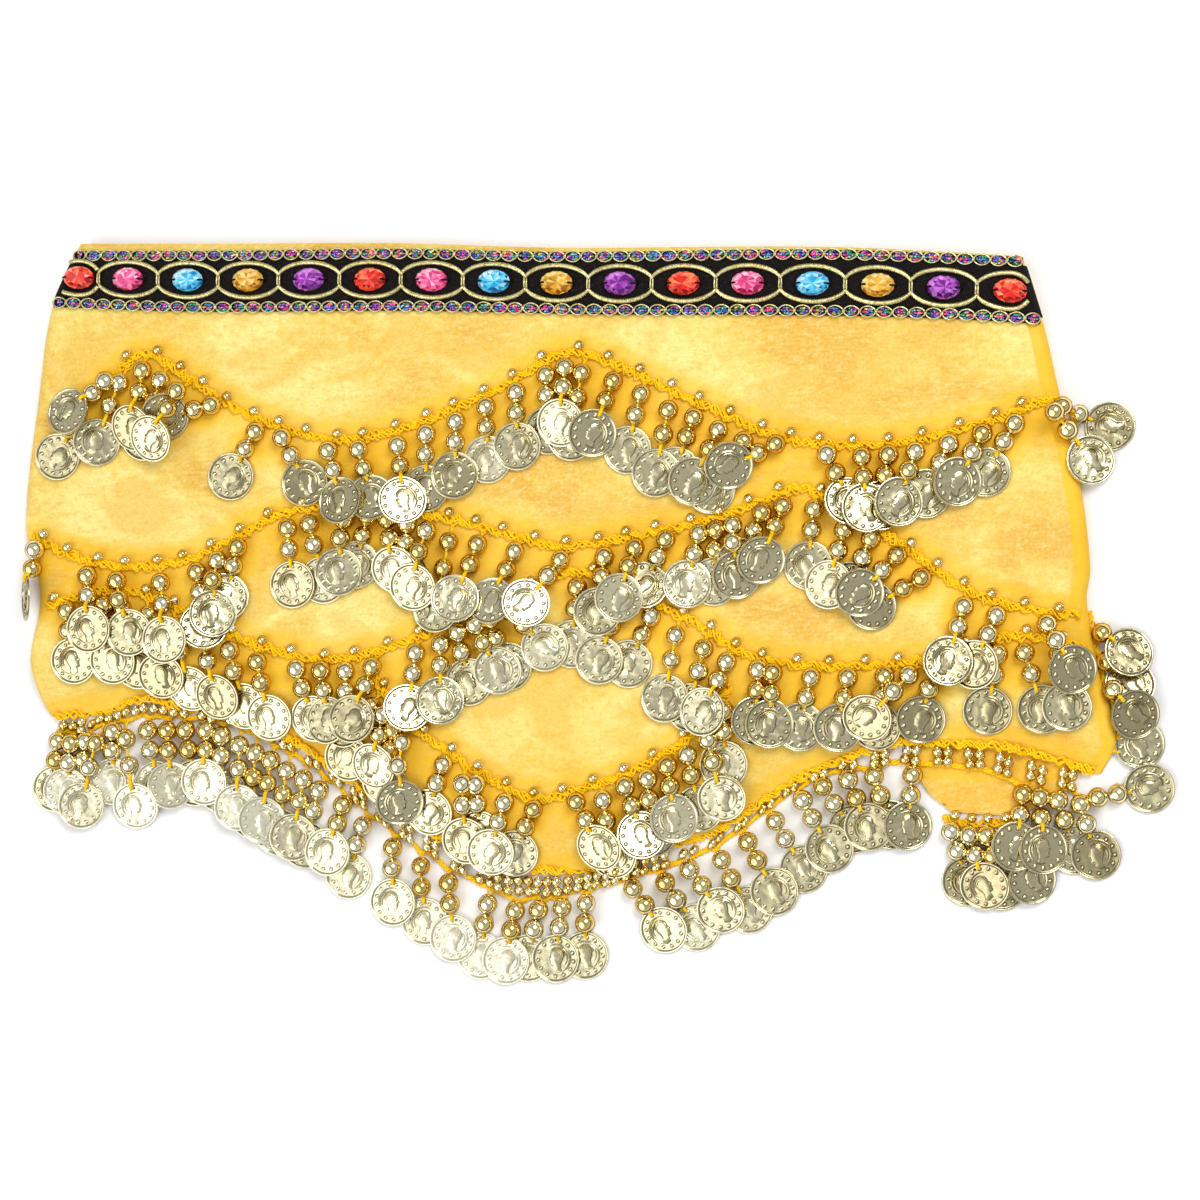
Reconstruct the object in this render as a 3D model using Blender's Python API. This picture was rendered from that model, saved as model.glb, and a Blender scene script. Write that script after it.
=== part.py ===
"""Belly dance hip scarf, laid flat on a table with both of its ends folded behind the front.

The front stretch of velvet lies over the hidden layers. A jewelled trim runs along the waist, four
wavy rows of crochet carry coin drops on the cloth, and a beaded net with a coin fringe hangs from
the hem. +X runs to the right along the waist, +Y up to the waist and +Z up from the table.
Sizes in the tables and constants are millimetres.
"""
import math
import random

import bmesh
import bpy
import numpy as np
from mathutils import Vector

MM = 0.001

# ------------------------------------------------------------------ driving sizes
WALL = 1.3            # velvet, with its backing
CLEAR = 0.45          # between one piece and what it lies on
LAYERS_TOP = 6.4      # hidden folded layers
FOLD_ROUND = 6.0      # how far a side fold takes to round down
FOLD_EDGE = 4.0       # height of a side fold's outermost line
HEM_FALL = 28.0       # the front falls from the layers to the table over this
HEM_EDGE_H = 1.9      # top of the velvet at its hem
WAIST_FALL = 4.0
WAIST_EDGE_H = 7.0

COIN_R = 10.0
COIN_T = 0.6
BEAD_R = 3.4
BEAD_END = 3.3        # half the length of a bead
ROOT_TO_BEAD = 3.6    # first bead's centre from the crochet
BEAD_TO_BEAD = 7.3
BEAD_TO_COIN = 13.6   # last bead's centre to the coin's
STRAND_R = 0.9

CROCHET_W = 3.6
CROCHET_T = 1.4
ROOT_W = 1.9          # width of a drop's root
LEAST_STEP = 0.7      # between two stations of a strip
NET_PITCH = 13.0      # between the net's bead groups, along its foot
NET_RUNG_W = 5.0      # a bead group
NET_HEAD_W = 1.8      # crochet along the velvet
NET_CORD_W = 2.0      # cord along the foot
BAND_T = 1.0
BRAID_T = 1.6
JEWEL_PITCH = 26.9
JEWEL_FIRST_X = -196.0
JEWEL_L, JEWEL_W, JEWEL_H = 14.0, 10.0, 3.6
SCROLL_L, SCROLL_W, SCROLL_D = 28.4, 16.0, 1.6

# ------------------------------------------------------------------ outline of the front
# columns: x, y
WAIST_EDGE = (
    (-220.0, 159.5), (-150.0, 158.0), (-76.0, 156.5), (-6.0, 153.0),
    (103.0, 151.0), (185.5, 145.5),
)
HEM_EDGE = (
    (-234.0, -46.5), (-209.0, -43.5), (-190.5, -38.0), (-172.0, -42.5), (-148.5, -46.5),
    (-126.0, -55.0), (-104.0, -69.5), (-68.5, -91.5), (-36.5, -107.0), (-7.5, -110.0),
    (8.5, -108.5), (27.0, -101.5), (50.0, -95.5), (66.5, -87.5), (83.5, -76.0),
    (102.5, -65.5), (133.5, -54.5), (152.5, -54.5), (178.0, -55.5), (197.5, -60.5),
    (217.5, -66.5),
)
# columns: y, x
LEFT_EDGE = (
    (-46.5, -234.0), (-34.0, -240.0), (-21.0, -243.0), (6.5, -238.5), (37.0, -245.0),
    (97.0, -238.5), (131.5, -233.0), (159.5, -220.0),
)
RIGHT_EDGE = (
    (-66.5, 217.5), (-52.5, 223.5), (-25.0, 216.5), (4.5, 211.5), (17.5, 213.0),
    (55.0, 208.5), (91.5, 200.0), (116.0, 194.5), (145.5, 185.5),
)
# lower line of the jewelled trim; columns: x, y
TRIM_FOOT = ((-233.0, 131.0), (-170.0, 127.5), (-67.0, 126.0), (16.5, 123.0),
             (86.5, 121.5), (152.5, 119.0), (194.5, 116.0))
# parts of the trim, as shares of its depth from the waist edge; columns: from, to
UPPER_BRAID = (0.07, 0.24)
BLACK_BAND = (0.26, 0.79)
LOWER_BRAID = (0.81, 0.98)

# broad swells where the layers below are bunched; columns: x, y, reach along x, along y, height
SWELLS = (
    (-150.0, 60.0, 45.0, 22.0, 0.9),
    (-60.0, 110.0, 50.0, 14.0, 0.5),
    (20.0, 65.0, 40.0, 26.0, 0.8),
    (110.0, 95.0, 38.0, 20.0, 0.9),
    (150.0, 10.0, 30.0, 24.0, 0.6),
    (-60.0, -20.0, 42.0, 20.0, 0.7),
    (60.0, -5.0, 36.0, 16.0, 0.8),
    (-180.0, 0.0, 30.0, 18.0, 0.5),
)

# ------------------------------------------------------------------ crochet rows
# Each row's wave, columns: x, y. Each row's drops come in bunches that swing together, columns:
# drops, first root, last root (x on the wave), first coin x, y, last coin x, y.
WAVE_1 = (
    (-220.0, 87.5), (-201.0, 103.5), (-189.0, 111.0), (-172.0, 102.0), (-144.0, 84.5),
    (-105.0, 73.0), (-79.5, 76.0), (-34.0, 93.0), (-4.5, 108.5), (13.5, 104.5),
    (52.0, 87.0), (87.5, 72.0), (128.5, 68.5), (176.5, 79.0), (195.5, 86.5), (202.0, 85.0),
)
BUNCHES_1 = (
    (1, -217, -217, -228, 66, -228, 66), (2, -203, -198, -221, 87, -210, 73),
    (3, -188, -168, -193, 78, -184, 74), (2, -154, -136, -178, 85, -150, 57),
    (2, -127, -107, -117, 54, -101, 48), (2, -94, -77, -87, 50, -74, 47),
    (5, -64, -13, -64, 52, -11, 76), (2, -4, 5, -5, 80, -2, 73),
    (3, 19, 42, 8, 75, 35, 58), (3, 53, 75, 42, 58, 57, 50),
    (2, 88, 105, 66, 60, 114, 45), (3, 120, 143, 122, 43, 135, 45),
    (3, 157, 184, 147, 48, 171, 57), (2, 195, 199, 213, 61, 218, 77),
)
WAVE_2 = (
    (-240.0, 33.0), (-223.0, 24.0), (-199.0, 19.0), (-171.0, 21.5), (-146.0, 32.5),
    (-126.0, 42.0), (-97.0, 45.0), (-64.0, 41.0), (-26.0, 31.5), (-4.5, 27.0),
    (36.0, 33.5), (60.0, 38.5), (81.0, 46.5), (96.0, 51.0), (113.5, 40.5),
    (135.0, 28.5), (165.0, 7.5), (197.5, -1.0), (209.0, -1.0),
)
BUNCHES_2 = (
    (1, -236, -236, -242, 8, -242, 8), (1, -214, -214, -211, -7, -211, -7),
    (2, -201, -182, -194, -10, -177, -12), (3, -166, -146, -161, -7, -152, 6),
    (2, -125, -116, -123, 10, -110, 13),
    (2, -99, -88, -102, 17, -94, 21), (3, -81, -62, -77, 18, -69, 10),
    (2, -52, -39, -59, 2, -50, 6), (2, -23, -3, -35, 3, -20, 4),
    (3, 13, 40, 10, -1, 29, 10), (3, 53, 66, 48, 10, 68, 16),
    (2, 80, 89, 70, 20, 79, 20), (2, 102, 115, 98, 18, 107, 10),
    (3, 126, 150, 115, 11, 124, 2), (2, 164, 177, 156, -20, 166, -21),
    (1, 194, 194, 205, -23, 205, -23),
)
WAVE_3 = (
    (-233.5, 2.0), (-220.0, 6.0), (-206.5, 9.0), (-185.0, 5.5), (-148.5, -11.0),
    (-131.5, -17.0), (-110.5, -21.0), (-84.5, -17.0), (-32.0, 3.0), (0.0, 16.5),
    (19.0, 9.5), (53.5, -6.5), (67.5, -16.0), (81.0, -20.5), (103.5, -23.0),
    (141.0, -21.0), (160.5, -16.0), (181.5, -10.0), (212.0, -15.0),
)
BUNCHES_3 = (
    (1, -224, -224, -221, -22, -221, -22), (2, -207, -199, -203, -22, -193, -23),
    (5, -187, -138, -181, -29, -134, -45), (3, -121, -99, -114, -47, -99, -47),
    (2, -86, -68, -95, -46, -71, -40), (3, -58, -44, -58, -38, -34, -24),
    (2, -38, -30, -29, -23, -14, -15), (2, 2, 21, -2, -13, 11, -20),
    (2, 35, 45, 22, -22, 38, -36), (2, 57, 67, 49, -40, 55, -42),
    (2, 78, 84, 76, -45, 82, -46), (3, 100, 130, 95, -45, 126, -46),
    (2, 143, 150, 122, -44, 144, -44), (2, 176, 185, 171, -41, 194, -39),
    (1, 200, 200, 203, -40, 203, -40),
)
WAVE_4 = (
    (-87.0, -28.0), (-82.5, -35.5), (-75.5, -45.5), (-59.5, -56.5), (-40.5, -69.0),
    (-17.5, -79.0), (5.0, -74.0), (22.5, -68.0), (45.0, -55.0), (57.0, -43.5), (65.5, -31.0),
)
BUNCHES_4 = (
    (2, -83, -80, -99, -62, -86, -65), (2, -76, -72, -82, -73, -76, -82),
    (2, -54, -46, -64, -85, -48, -97), (2, -41, -28, -41, -93, -36, -103),
    (2, -16, -1, -26, -101, 10, -98), (2, 11, 20, 16, -103, 28, -94),
    (4, 30, 54, 32, -92, 62, -77), (1, 62, 62, 62, -65, 62, -65),
)
# The hem's net is the strip between the velvet and this line; columns: x, y
NET_FOOT = (
    (-232.0, -54.0), (-219.5, -55.0), (-209.0, -50.0), (-190.0, -47.0), (-157.5, -49.0),
    (-138.5, -56.0), (-115.0, -69.0), (-92.0, -88.0), (-64.5, -106.0), (-37.5, -120.5),
    (-21.0, -124.0), (-5.5, -121.5), (33.5, -111.0), (58.5, -100.0), (81.5, -83.5),
    (96.0, -73.0), (115.0, -67.0), (141.5, -65.0), (165.0, -66.5), (184.0, -72.0),
    (216.0, -77.0),
)
HEM_BUNCHES = (
    (3, -230, -217, -233, -76, -221, -79), (2, -210, -205, -219, -85, -207, -75),
    (2, -200, -190, -196, -84, -186, -75), (2, -181, -173, -179, -76, -168, -74),
    (2, -163, -156, -163, -75, -157, -77), (6, -148, -111, -149, -84, -119, -102),
    (2, -101, -92, -106, -96, -100, -115), (3, -80, -56, -81, -126, -54, -139),
    (2, -38, -26, -42, -146, -31, -149), (3, -16, 4, -21, -148, 2, -146),
    (2, 22, 35, 37, -134, 50, -132), (2, 46, 59, 57, -120, 72, -126),
    (3, 70, 93, 84, -118, 107, -98), (3, 102, 124, 116, -92, 130, -88),
    (1, 141, 141, 139, -88, 139, -88), (3, 186, 199, 183, -95, 206, -99),
    (1, 208, 208, 216, -101, 216, -101), (1, 213, 213, 237, -72, 237, -72),
)
# Back layer's corner, which shows below the hem; columns: x, y
BACK_CORNER = ((134.0, -48.0), (143.0, -66.0), (152.0, -82.0), (180.0, -84.0), (188.0, -50.0))
BACK_WAVE = ((153.0, -85.0), (160.0, -87.5), (170.0, -88.0), (183.0, -87.0))
BACK_BUNCHES = ((3, 156, 170, 163, -111, 177, -113), (1, 178, 178, 190, -110, 190, -110))
# Coins of the back layer that show beyond the right side fold; columns: y, x
SIDE_WAVE = ((-58.0, 223.5), (-50.0, 224.0), (-25.0, 217.5), (0.0, 212.5))
SIDE_BUNCHES = ((4, -41, -7, 233, -55, 226, -15),)

SHADES = {
    "velvet": ((0.96, 0.66, 0.13), 0.75, 0.0),
    "crochet": ((0.93, 0.52, 0.04), 0.85, 0.0),
    "black": ((0.015, 0.014, 0.018), 0.8, 0.0),
    "braid": ((0.20, 0.07, 0.22), 0.5, 0.3),
    "gold": ((0.80, 0.72, 0.42), 0.35, 0.9),
}
JEWEL_SHADES = (
    (0.70, 0.02, 0.02), (0.80, 0.03, 0.25), (0.03, 0.42, 0.75), (0.85, 0.45, 0.03),
    (0.25, 0.02, 0.45),
)


# ------------------------------------------------------------------ curves
def smooth(table, at):
    """Value of the smooth curve through a table's rows (position, value), at a position."""
    if at <= table[0][0]:
        return table[0][1]
    for k in range(len(table) - 1):
        if at <= table[k + 1][0]:
            break
    else:
        return table[-1][1]

    def slope(i):
        low, high = max(i - 1, 0), min(i + 1, len(table) - 1)
        return (table[high][1] - table[low][1]) / (table[high][0] - table[low][0])

    (x0, y0), (x1, y1) = table[k], table[k + 1]
    span = x1 - x0
    t = (at - x0) / span
    return ((2 * t**3 - 3 * t**2 + 1) * y0 + (t**3 - 2 * t**2 + t) * span * slope(k)
            + (3 * t**2 - 2 * t**3) * y1 + (t**3 - t**2) * span * slope(k + 1))


def row_path(table):
    return lambda x: (x, smooth(table, x))


def side_path(table):
    return lambda y: (smooth(table, y), y)


def front_point(u, v):
    """Point of the front, u from the left fold to the right, v from the hem to the waist."""
    (xa, ya), (xb, yb) = HEM_EDGE[0], HEM_EDGE[-1]
    (xc, yc), (xd, yd) = WAIST_EDGE[0], WAIST_EDGE[-1]
    hem_x = xa + (xb - xa) * u
    waist_x = xc + (xd - xc) * u
    left_y = ya + (yc - ya) * v
    right_y = yb + (yd - yb) * v
    hem = np.array((hem_x, smooth(HEM_EDGE, hem_x)))
    waist = np.array((waist_x, smooth(WAIST_EDGE, waist_x)))
    left = np.array((smooth(LEFT_EDGE, left_y), left_y))
    right = np.array((smooth(RIGHT_EDGE, right_y), right_y))
    corners = ((1 - u) * (1 - v) * np.array((xa, ya)) + u * (1 - v) * np.array((xb, yb))
               + (1 - u) * v * np.array((xc, yc)) + u * v * np.array((xd, yd)))
    return (1 - v) * hem + v * waist + (1 - u) * left + u * right - corners


def front_height(x, y):
    """Height of the velvet's face over a point of the front."""
    full = LAYERS_TOP + CLEAR + WALL + 0.25

    def fall(distance, reach, edge):
        t = min(max(distance / reach, 0.0), 1.0)
        return edge + (full - edge) * math.sqrt(1.0 - (1.0 - t) ** 2)

    swell = sum(h * math.exp(-((x - a) / p) ** 2 - ((y - b) / q) ** 2) for a, b, p, q, h in SWELLS)
    inner = min(x - smooth(LEFT_EDGE, y), smooth(RIGHT_EDGE, y) - x,
                y - smooth(HEM_EDGE, x), smooth(WAIST_EDGE, x) - y)
    hem_t = min(max((y - smooth(HEM_EDGE, x)) / HEM_FALL, 0.0), 1.0)
    lifted = HEM_EDGE_H + 1.9 * math.exp(-((x - 161.0) / 36.0) ** 4)
    hem = lifted + (full - lifted) * math.sin(hem_t * math.pi / 2)
    height = min(fall(x - smooth(LEFT_EDGE, y), FOLD_ROUND, FOLD_EDGE),
                 fall(smooth(RIGHT_EDGE, y) - x, FOLD_ROUND, FOLD_EDGE),
                 fall(smooth(WAIST_EDGE, x) - y, WAIST_FALL, WAIST_EDGE_H), hem)
    return height + swell * min(max(inner / 40.0, 0.0), 1.0)


# ------------------------------------------------------------------ meshes
def add_object(name, shade, verts, faces):
    colour, rough, metal = shade
    mesh = bpy.data.meshes.new(name)
    mesh.from_pydata([tuple(c * MM for c in v) for v in verts], [], faces)
    work = bmesh.new()
    work.from_mesh(mesh)
    bmesh.ops.triangulate(work, faces=[f for f in work.faces if len(f.verts) > 3])
    bmesh.ops.recalc_face_normals(work, faces=work.faces)
    work.to_mesh(mesh)
    work.free()
    material = bpy.data.materials.new(name)
    material.use_nodes = True
    surface = material.node_tree.nodes["Principled BSDF"]
    surface.inputs["Base Color"].default_value = (*colour, 1.0)
    surface.inputs["Roughness"].default_value = rough
    surface.inputs["Metallic"].default_value = metal
    mesh.materials.append(material)
    thing = bpy.data.objects.new(name, mesh)
    bpy.context.scene.collection.objects.link(thing)
    return thing


def span(first, second):
    """Four faces between two rings of four."""
    return [(first[k], first[(k + 1) % 4], second[(k + 1) % 4], second[k]) for k in range(4)]


class Relief:
    """Height of everything laid so far, on a fine grid seen from above."""

    STEP = 0.5
    X0, Y0 = -275.0, -185.0
    NX, NY = 1100, 720

    def __init__(self):
        self.height = np.zeros((self.NX, self.NY))

    def window(self, x, y, reach):
        i0 = max(int((x - reach - self.X0) / self.STEP), 0)
        i1 = min(int((x + reach - self.X0) / self.STEP) + 2, self.NX)
        j0 = max(int((y - reach - self.Y0) / self.STEP), 0)
        j1 = min(int((y + reach - self.Y0) / self.STEP) + 2, self.NY)
        gx = self.X0 + self.STEP * np.arange(i0, i1)[:, None]
        gy = self.Y0 + self.STEP * np.arange(j0, j1)[None, :]
        return slice(i0, i1), slice(j0, j1), gx, gy

    def top_near(self, x, y, reach):
        si, sj, gx, gy = self.window(x, y, reach)
        near = (gx - x) ** 2 + (gy - y) ** 2 <= reach**2
        return float(self.height[si, sj][near].max())

    def rest(self, x, y, reach, under):
        """Lowest height of a shape whose underside, from its centre, is under(dx, dy)."""
        si, sj, gx, gy = self.window(x, y, reach)
        low = under(gx - x, gy - y)
        return float((self.height[si, sj] - low).max()) + CLEAR

    def lay(self, x, y, reach, over, z):
        si, sj, gx, gy = self.window(x, y, reach)
        patch = self.height[si, sj]
        np.maximum(patch, z + over(gx - x, gy - y), out=patch)

    def lay_triangle(self, a, b, c):
        det = (b[1] - c[1]) * (a[0] - c[0]) + (c[0] - b[0]) * (a[1] - c[1])
        if abs(det) < 1e-6:
            return
        mid = [(a[k] + b[k] + c[k]) / 3 for k in range(2)]
        reach = max(math.hypot(p[0] - mid[0], p[1] - mid[1]) for p in (a, b, c))
        si, sj, gx, gy = self.window(mid[0], mid[1], reach)
        wa = ((b[1] - c[1]) * (gx - c[0]) + (c[0] - b[0]) * (gy - c[1])) / det
        wb = ((c[1] - a[1]) * (gx - c[0]) + (a[0] - c[0]) * (gy - c[1])) / det
        wc = 1 - wa - wb
        inside = (wa > -0.02) & (wb > -0.02) & (wc > -0.02)
        patch = self.height[si, sj]
        flat = np.where(inside, wa * a[2] + wb * b[2] + wc * c[2], -np.inf)
        np.maximum(patch, flat, out=patch)


# ------------------------------------------------------------------ cloth
def spread(edge_steps, inner, length):
    """Shares from 0 to 1: close together by both ends, even between."""
    low = [s / length for s in edge_steps]
    high = [1 - s for s in reversed(low)]
    gap = (high[0] - low[-1]) / inner
    return low + [low[-1] + gap * k for k in range(1, inner)] + high


def build_front(relief):
    columns = spread((0.0, 1.6, 4.5, 9.0), 18, 440.0)
    rise = [0.0, 0.045, 0.10, 0.16] + [0.16 + 0.80 * k / 7 for k in range(1, 8)] + [0.985, 1.0]
    top = bmesh.new()
    grid = []
    for u in columns:
        column = []
        for v in rise:
            x, y = front_point(u, v)
            column.append(top.verts.new((x, y, front_height(x, y))))
        grid.append(column)
    for i in range(len(columns) - 1):
        for j in range(len(rise) - 1):
            low, high = grid[i], grid[i + 1]
            if (i + j) % 2:
                top.faces.new((low[j], high[j], high[j + 1]))
                top.faces.new((low[j], high[j + 1], low[j + 1]))
            else:
                top.faces.new((low[j], high[j], low[j + 1]))
                top.faces.new((high[j], high[j + 1], low[j + 1]))
    top.normal_update()
    top.verts.index_update()
    upper = [tuple(v.co) for v in top.verts]
    lower = [tuple(v.co - v.normal * WALL) for v in top.verts]
    count = len(upper)
    faces = [[v.index for v in f.verts] for f in top.faces]
    under = [[count + i for i in reversed(f)] for f in faces]
    rim = []
    for edge in top.edges:
        if len(edge.link_faces) == 1:
            a, b = (v.index for v in edge.verts)
            rim.append((a, b, count + b, count + a))
    for f in faces:
        relief.lay_triangle(*(upper[i] for i in f))
    top.free()
    add_object("scarf_front", SHADES["velvet"], upper + lower, faces + under + rim)


def build_layers():
    """Hidden layers: one solid with a flat underside, stepped in towards the top."""
    # columns: top, inset at the side folds, at the hem, at the waist
    steps = ((2.2, 5.5, 16.0, 1.5), (4.4, 5.5, 22.0, 2.5), (LAYERS_TOP, 8.5, 34.0, 5.5))
    verts, rings = [], []
    base = 0.0
    for height, side, hem, waist in steps:
        outline = []
        for k in range(15):
            u = (k + 0.5) / 15
            x, y = front_point(u, 0.0)
            x += side * (1 - 2 * u) * 1.2
            outline.append((x, smooth(HEM_EDGE, x) + hem))
        for k in range(6):
            y = outline[14][1] + (smooth(WAIST_EDGE, 185) - 8 - outline[14][1]) * (k + 0.5) / 6
            outline.append((smooth(RIGHT_EDGE, y) - side, y))
        for k in range(8):
            x = 184 - side - (402 - 2 * side) * k / 7
            outline.append((x, smooth(WAIST_EDGE, x) - waist))
        for k in range(6):
            y = 150 + (outline[0][1] - 150) * (k + 0.5) / 6
            outline.append((smooth(LEFT_EDGE, y) + side, y))
        for z in (base, height):
            rings.append([len(verts) + k for k in range(len(outline))])
            verts += [(x, y, z) for x, y in outline]
        base = height
    faces = [tuple(reversed(rings[0])), tuple(rings[-1])]
    for low, high in zip(rings, rings[1:]):
        for k in range(len(low)):
            n = (k + 1) % len(low)
            faces.append((low[k], low[n], high[n], high[k]))
    add_object("folded_layers", SHADES["velvet"], verts, faces)


def build_corner(relief):
    """Back layer's corner, lying on the table under the front's hem."""
    low, high = 0.3, 0.3 + WALL
    count = len(BACK_CORNER)
    verts = [(x, y, z) for z in (low, high) for x, y in BACK_CORNER]
    faces = [tuple(reversed(range(count))), tuple(range(count, 2 * count))]
    faces += [(k, (k + 1) % count, count + (k + 1) % count, count + k) for k in range(count)]
    top = verts[count:]
    for k in range(1, count - 1):
        relief.lay_triangle(top[0], top[k], top[k + 1])
    add_object("back_corner", SHADES["velvet"], verts, faces)


# ------------------------------------------------------------------ strips and drops
def lift_clear(relief, near, far, z_near, z_far):
    """Raise a strip's stations until no stretch of it sinks into what lies below."""
    for _ in range(3):
        for i in range(len(near) - 1):
            corners = (near[i], near[i + 1], far[i], far[i + 1])
            lack = 0.0
            for s in np.linspace(0.0, 1.0, 6):
                for t in np.linspace(0.0, 1.0, 4):
                    weights = ((1 - s) * (1 - t), s * (1 - t), (1 - s) * t, s * t)
                    x = sum(w * c[0] for w, c in zip(weights, corners))
                    y = sum(w * c[1] for w, c in zip(weights, corners))
                    heights = (z_near[i], z_near[i + 1], z_far[i], z_far[i + 1])
                    z = sum(w * h for w, h in zip(weights, heights))
                    lack = max(lack, relief.top_near(x, y, 0.8) + CLEAR - z)
            if lack > 0:
                for k in (i, i + 1):
                    z_near[k] += lack
                    z_far[k] += lack


def strip_heights(relief, near, far):
    """Heights of the two edges of a flat strip that lies on what is there."""
    z_near = [relief.top_near(x, y, 1.0) + CLEAR for x, y in near]
    z_far = [relief.top_near(x, y, 1.0) + CLEAR for x, y in far]
    lift_clear(relief, near, far, z_near, z_far)
    return z_near, z_far


def strip_rings(relief, near, far, thick):
    """Rings of four down a flat strip; near and far are its two edges, drops hang from far."""
    z_near, z_far = strip_heights(relief, near, far)
    verts = []
    for (nx, ny), (fx, fy), zn, zf in zip(near, far, z_near, z_far):
        verts += [(nx, ny, zn), (fx, fy, zf), (fx, fy, zf + thick), (nx, ny, zn + thick)]
    for i in range(len(near) - 1):
        a, b = 4 * i, 4 * (i + 1)
        relief.lay_triangle(verts[a + 3], verts[a + 2], verts[b + 2])
        relief.lay_triangle(verts[a + 3], verts[b + 2], verts[b + 3])
    return verts


def across(path, at):
    """Unit vector to the right of the way the path runs."""
    (xa, ya), (xb, yb) = path(at - 1.0), path(at + 1.0)
    length = math.hypot(xb - xa, yb - ya)
    return (yb - ya) / length, -(xb - xa) / length


def hang_order(bunches, rng):
    drops = []
    for count, root_a, root_b, xa, ya, xb, yb in bunches:
        for k in range(count):
            t = k / (count - 1) if count > 1 else 0.0
            drops.append((root_a + (root_b - root_a) * t,
                          xa + (xb - xa) * t + rng.uniform(-0.8, 0.8),
                          ya + (yb - ya) * t + rng.uniform(-1.2, 1.2)))
    drops.sort()
    return drops


def settle_coin(relief, x, y):
    """Height and slopes of a coin lying on what is below it, as low as it can."""
    best = None
    slopes = (-0.30, -0.2, -0.1, 0.0, 0.1, 0.2, 0.30)
    beyond = x < smooth(LEFT_EDGE, y) - 1.0
    for sx in ((1.8, 2.4) if beyond else slopes):
        for sy in slopes:
            def under(dx, dy):
                rise = sx * dx + sy * dy
                return np.where(dx**2 + dy**2 + rise**2 <= (COIN_R + 0.4) ** 2, rise, np.inf)

            z = relief.rest(x, y, COIN_R + 1.0, under) + 0.6 * (sx * sx + sy * sy)
            if best is None or z < best[0]:
                best = (z, sx, sy)
    z, sx, sy = best

    def over(dx, dy):
        rise = sx * dx + sy * dy
        inside = dx**2 + dy**2 + rise**2 <= (COIN_R + 0.4) ** 2
        return np.where(inside, rise + COIN_T * math.hypot(1.0, sx, sy), -np.inf)

    return z, sx, sy, over


def settle_bead(relief, x, y, along):
    """Height of a bead's centre; its cross-section is a square stood on a corner."""
    ax, ay = along

    def slack(dx, dy):
        length = np.abs(dx * ax + dy * ay)
        side = np.abs(-dx * ay + dy * ax)
        return np.where((length < BEAD_END) & (side < BEAD_R), BEAD_R - side, -np.inf)

    z = relief.rest(x, y, 5.0, lambda dx, dy: -slack(dx, dy))
    return z, slack


def hang_drop(relief, verts, faces, quad, root, coin, bead_count):
    """One strand from a strip's side face: its beads and a coin."""
    dx, dy = coin[0] - root[0], coin[1] - root[1]
    reach = math.hypot(dx, dy)
    ax, ay = dx / reach, dy / reach
    shortest = ROOT_TO_BEAD + (bead_count - 1) * BEAD_TO_BEAD + BEAD_TO_COIN
    spare = max(reach - shortest, -0.4) / (bead_count + 1)
    places = [ROOT_TO_BEAD + spare + (BEAD_TO_BEAD + spare) * k for k in range(bead_count)]
    centre = places[-1] + BEAD_TO_COIN + spare

    def at(distance, side=0.0):
        return root[0] + ax * distance - ay * side, root[1] + ay * distance + ax * side

    beads = []
    for distance in places:
        x, y = at(distance)
        z, slack = settle_bead(relief, x, y, (ax, ay))
        beads.append((distance, x, y, z, slack))
    cx, cy = at(centre)
    cz, sx, sy, over = settle_coin(relief, cx, cy)
    for _, x, y, z, slack in beads:
        relief.lay(x, y, 5.0, slack, z)
    relief.lay(cx, cy, COIN_R + 1.0, over, cz)

    def round_ring(distance, z, radius):
        low, high = (*at(distance), z - radius), (*at(distance), z + radius)
        return [low, (*at(distance, radius), z), high, (*at(distance, -radius), z)]

    normal = Vector((-sx, -sy, 1.0)).normalized()
    forward = Vector((ax, ay, sx * ax + sy * ay)).normalized()
    wing = normal.cross(forward)

    def flat_ring(share, half):
        middle = Vector((cx, cy, cz)) + forward * share * COIN_R
        right, left = middle - wing * half * COIN_R, middle + wing * half * COIN_R
        return [tuple(p) for p in (right, left, left + normal * COIN_T, right + normal * COIN_T)]

    rings = []
    for distance, _, _, z, _ in beads:
        if rings:
            middle = (beads[0][0] + distance) / 2
            rings.append(round_ring(middle, (beads[0][3] + z) / 2, STRAND_R))
        rings.append(round_ring(distance, z, BEAD_R))
    rings += [flat_ring(share, half)
              for share, half in ((-1.0, 0.11), (-0.55, 0.86), (0.383, 0.924), (0.924, 0.383))]
    last = quad
    for ring in rings:
        indices = [len(verts) + k for k in range(4)]
        verts += ring
        faces += span(last, indices)
        last = indices
    faces.append(tuple(last))


def hang_all(relief, verts, faces, hung, bead_count):
    """Hang a strip's drops: every other one first, so that the rest lie over them."""
    for first in (0, 1):
        for quad, coin in hung[first::2]:
            root = [(verts[quad[0]][k] + verts[quad[1]][k]) / 2 for k in range(2)]
            hang_drop(relief, verts, faces, quad, root, coin, bead_count)


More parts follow.
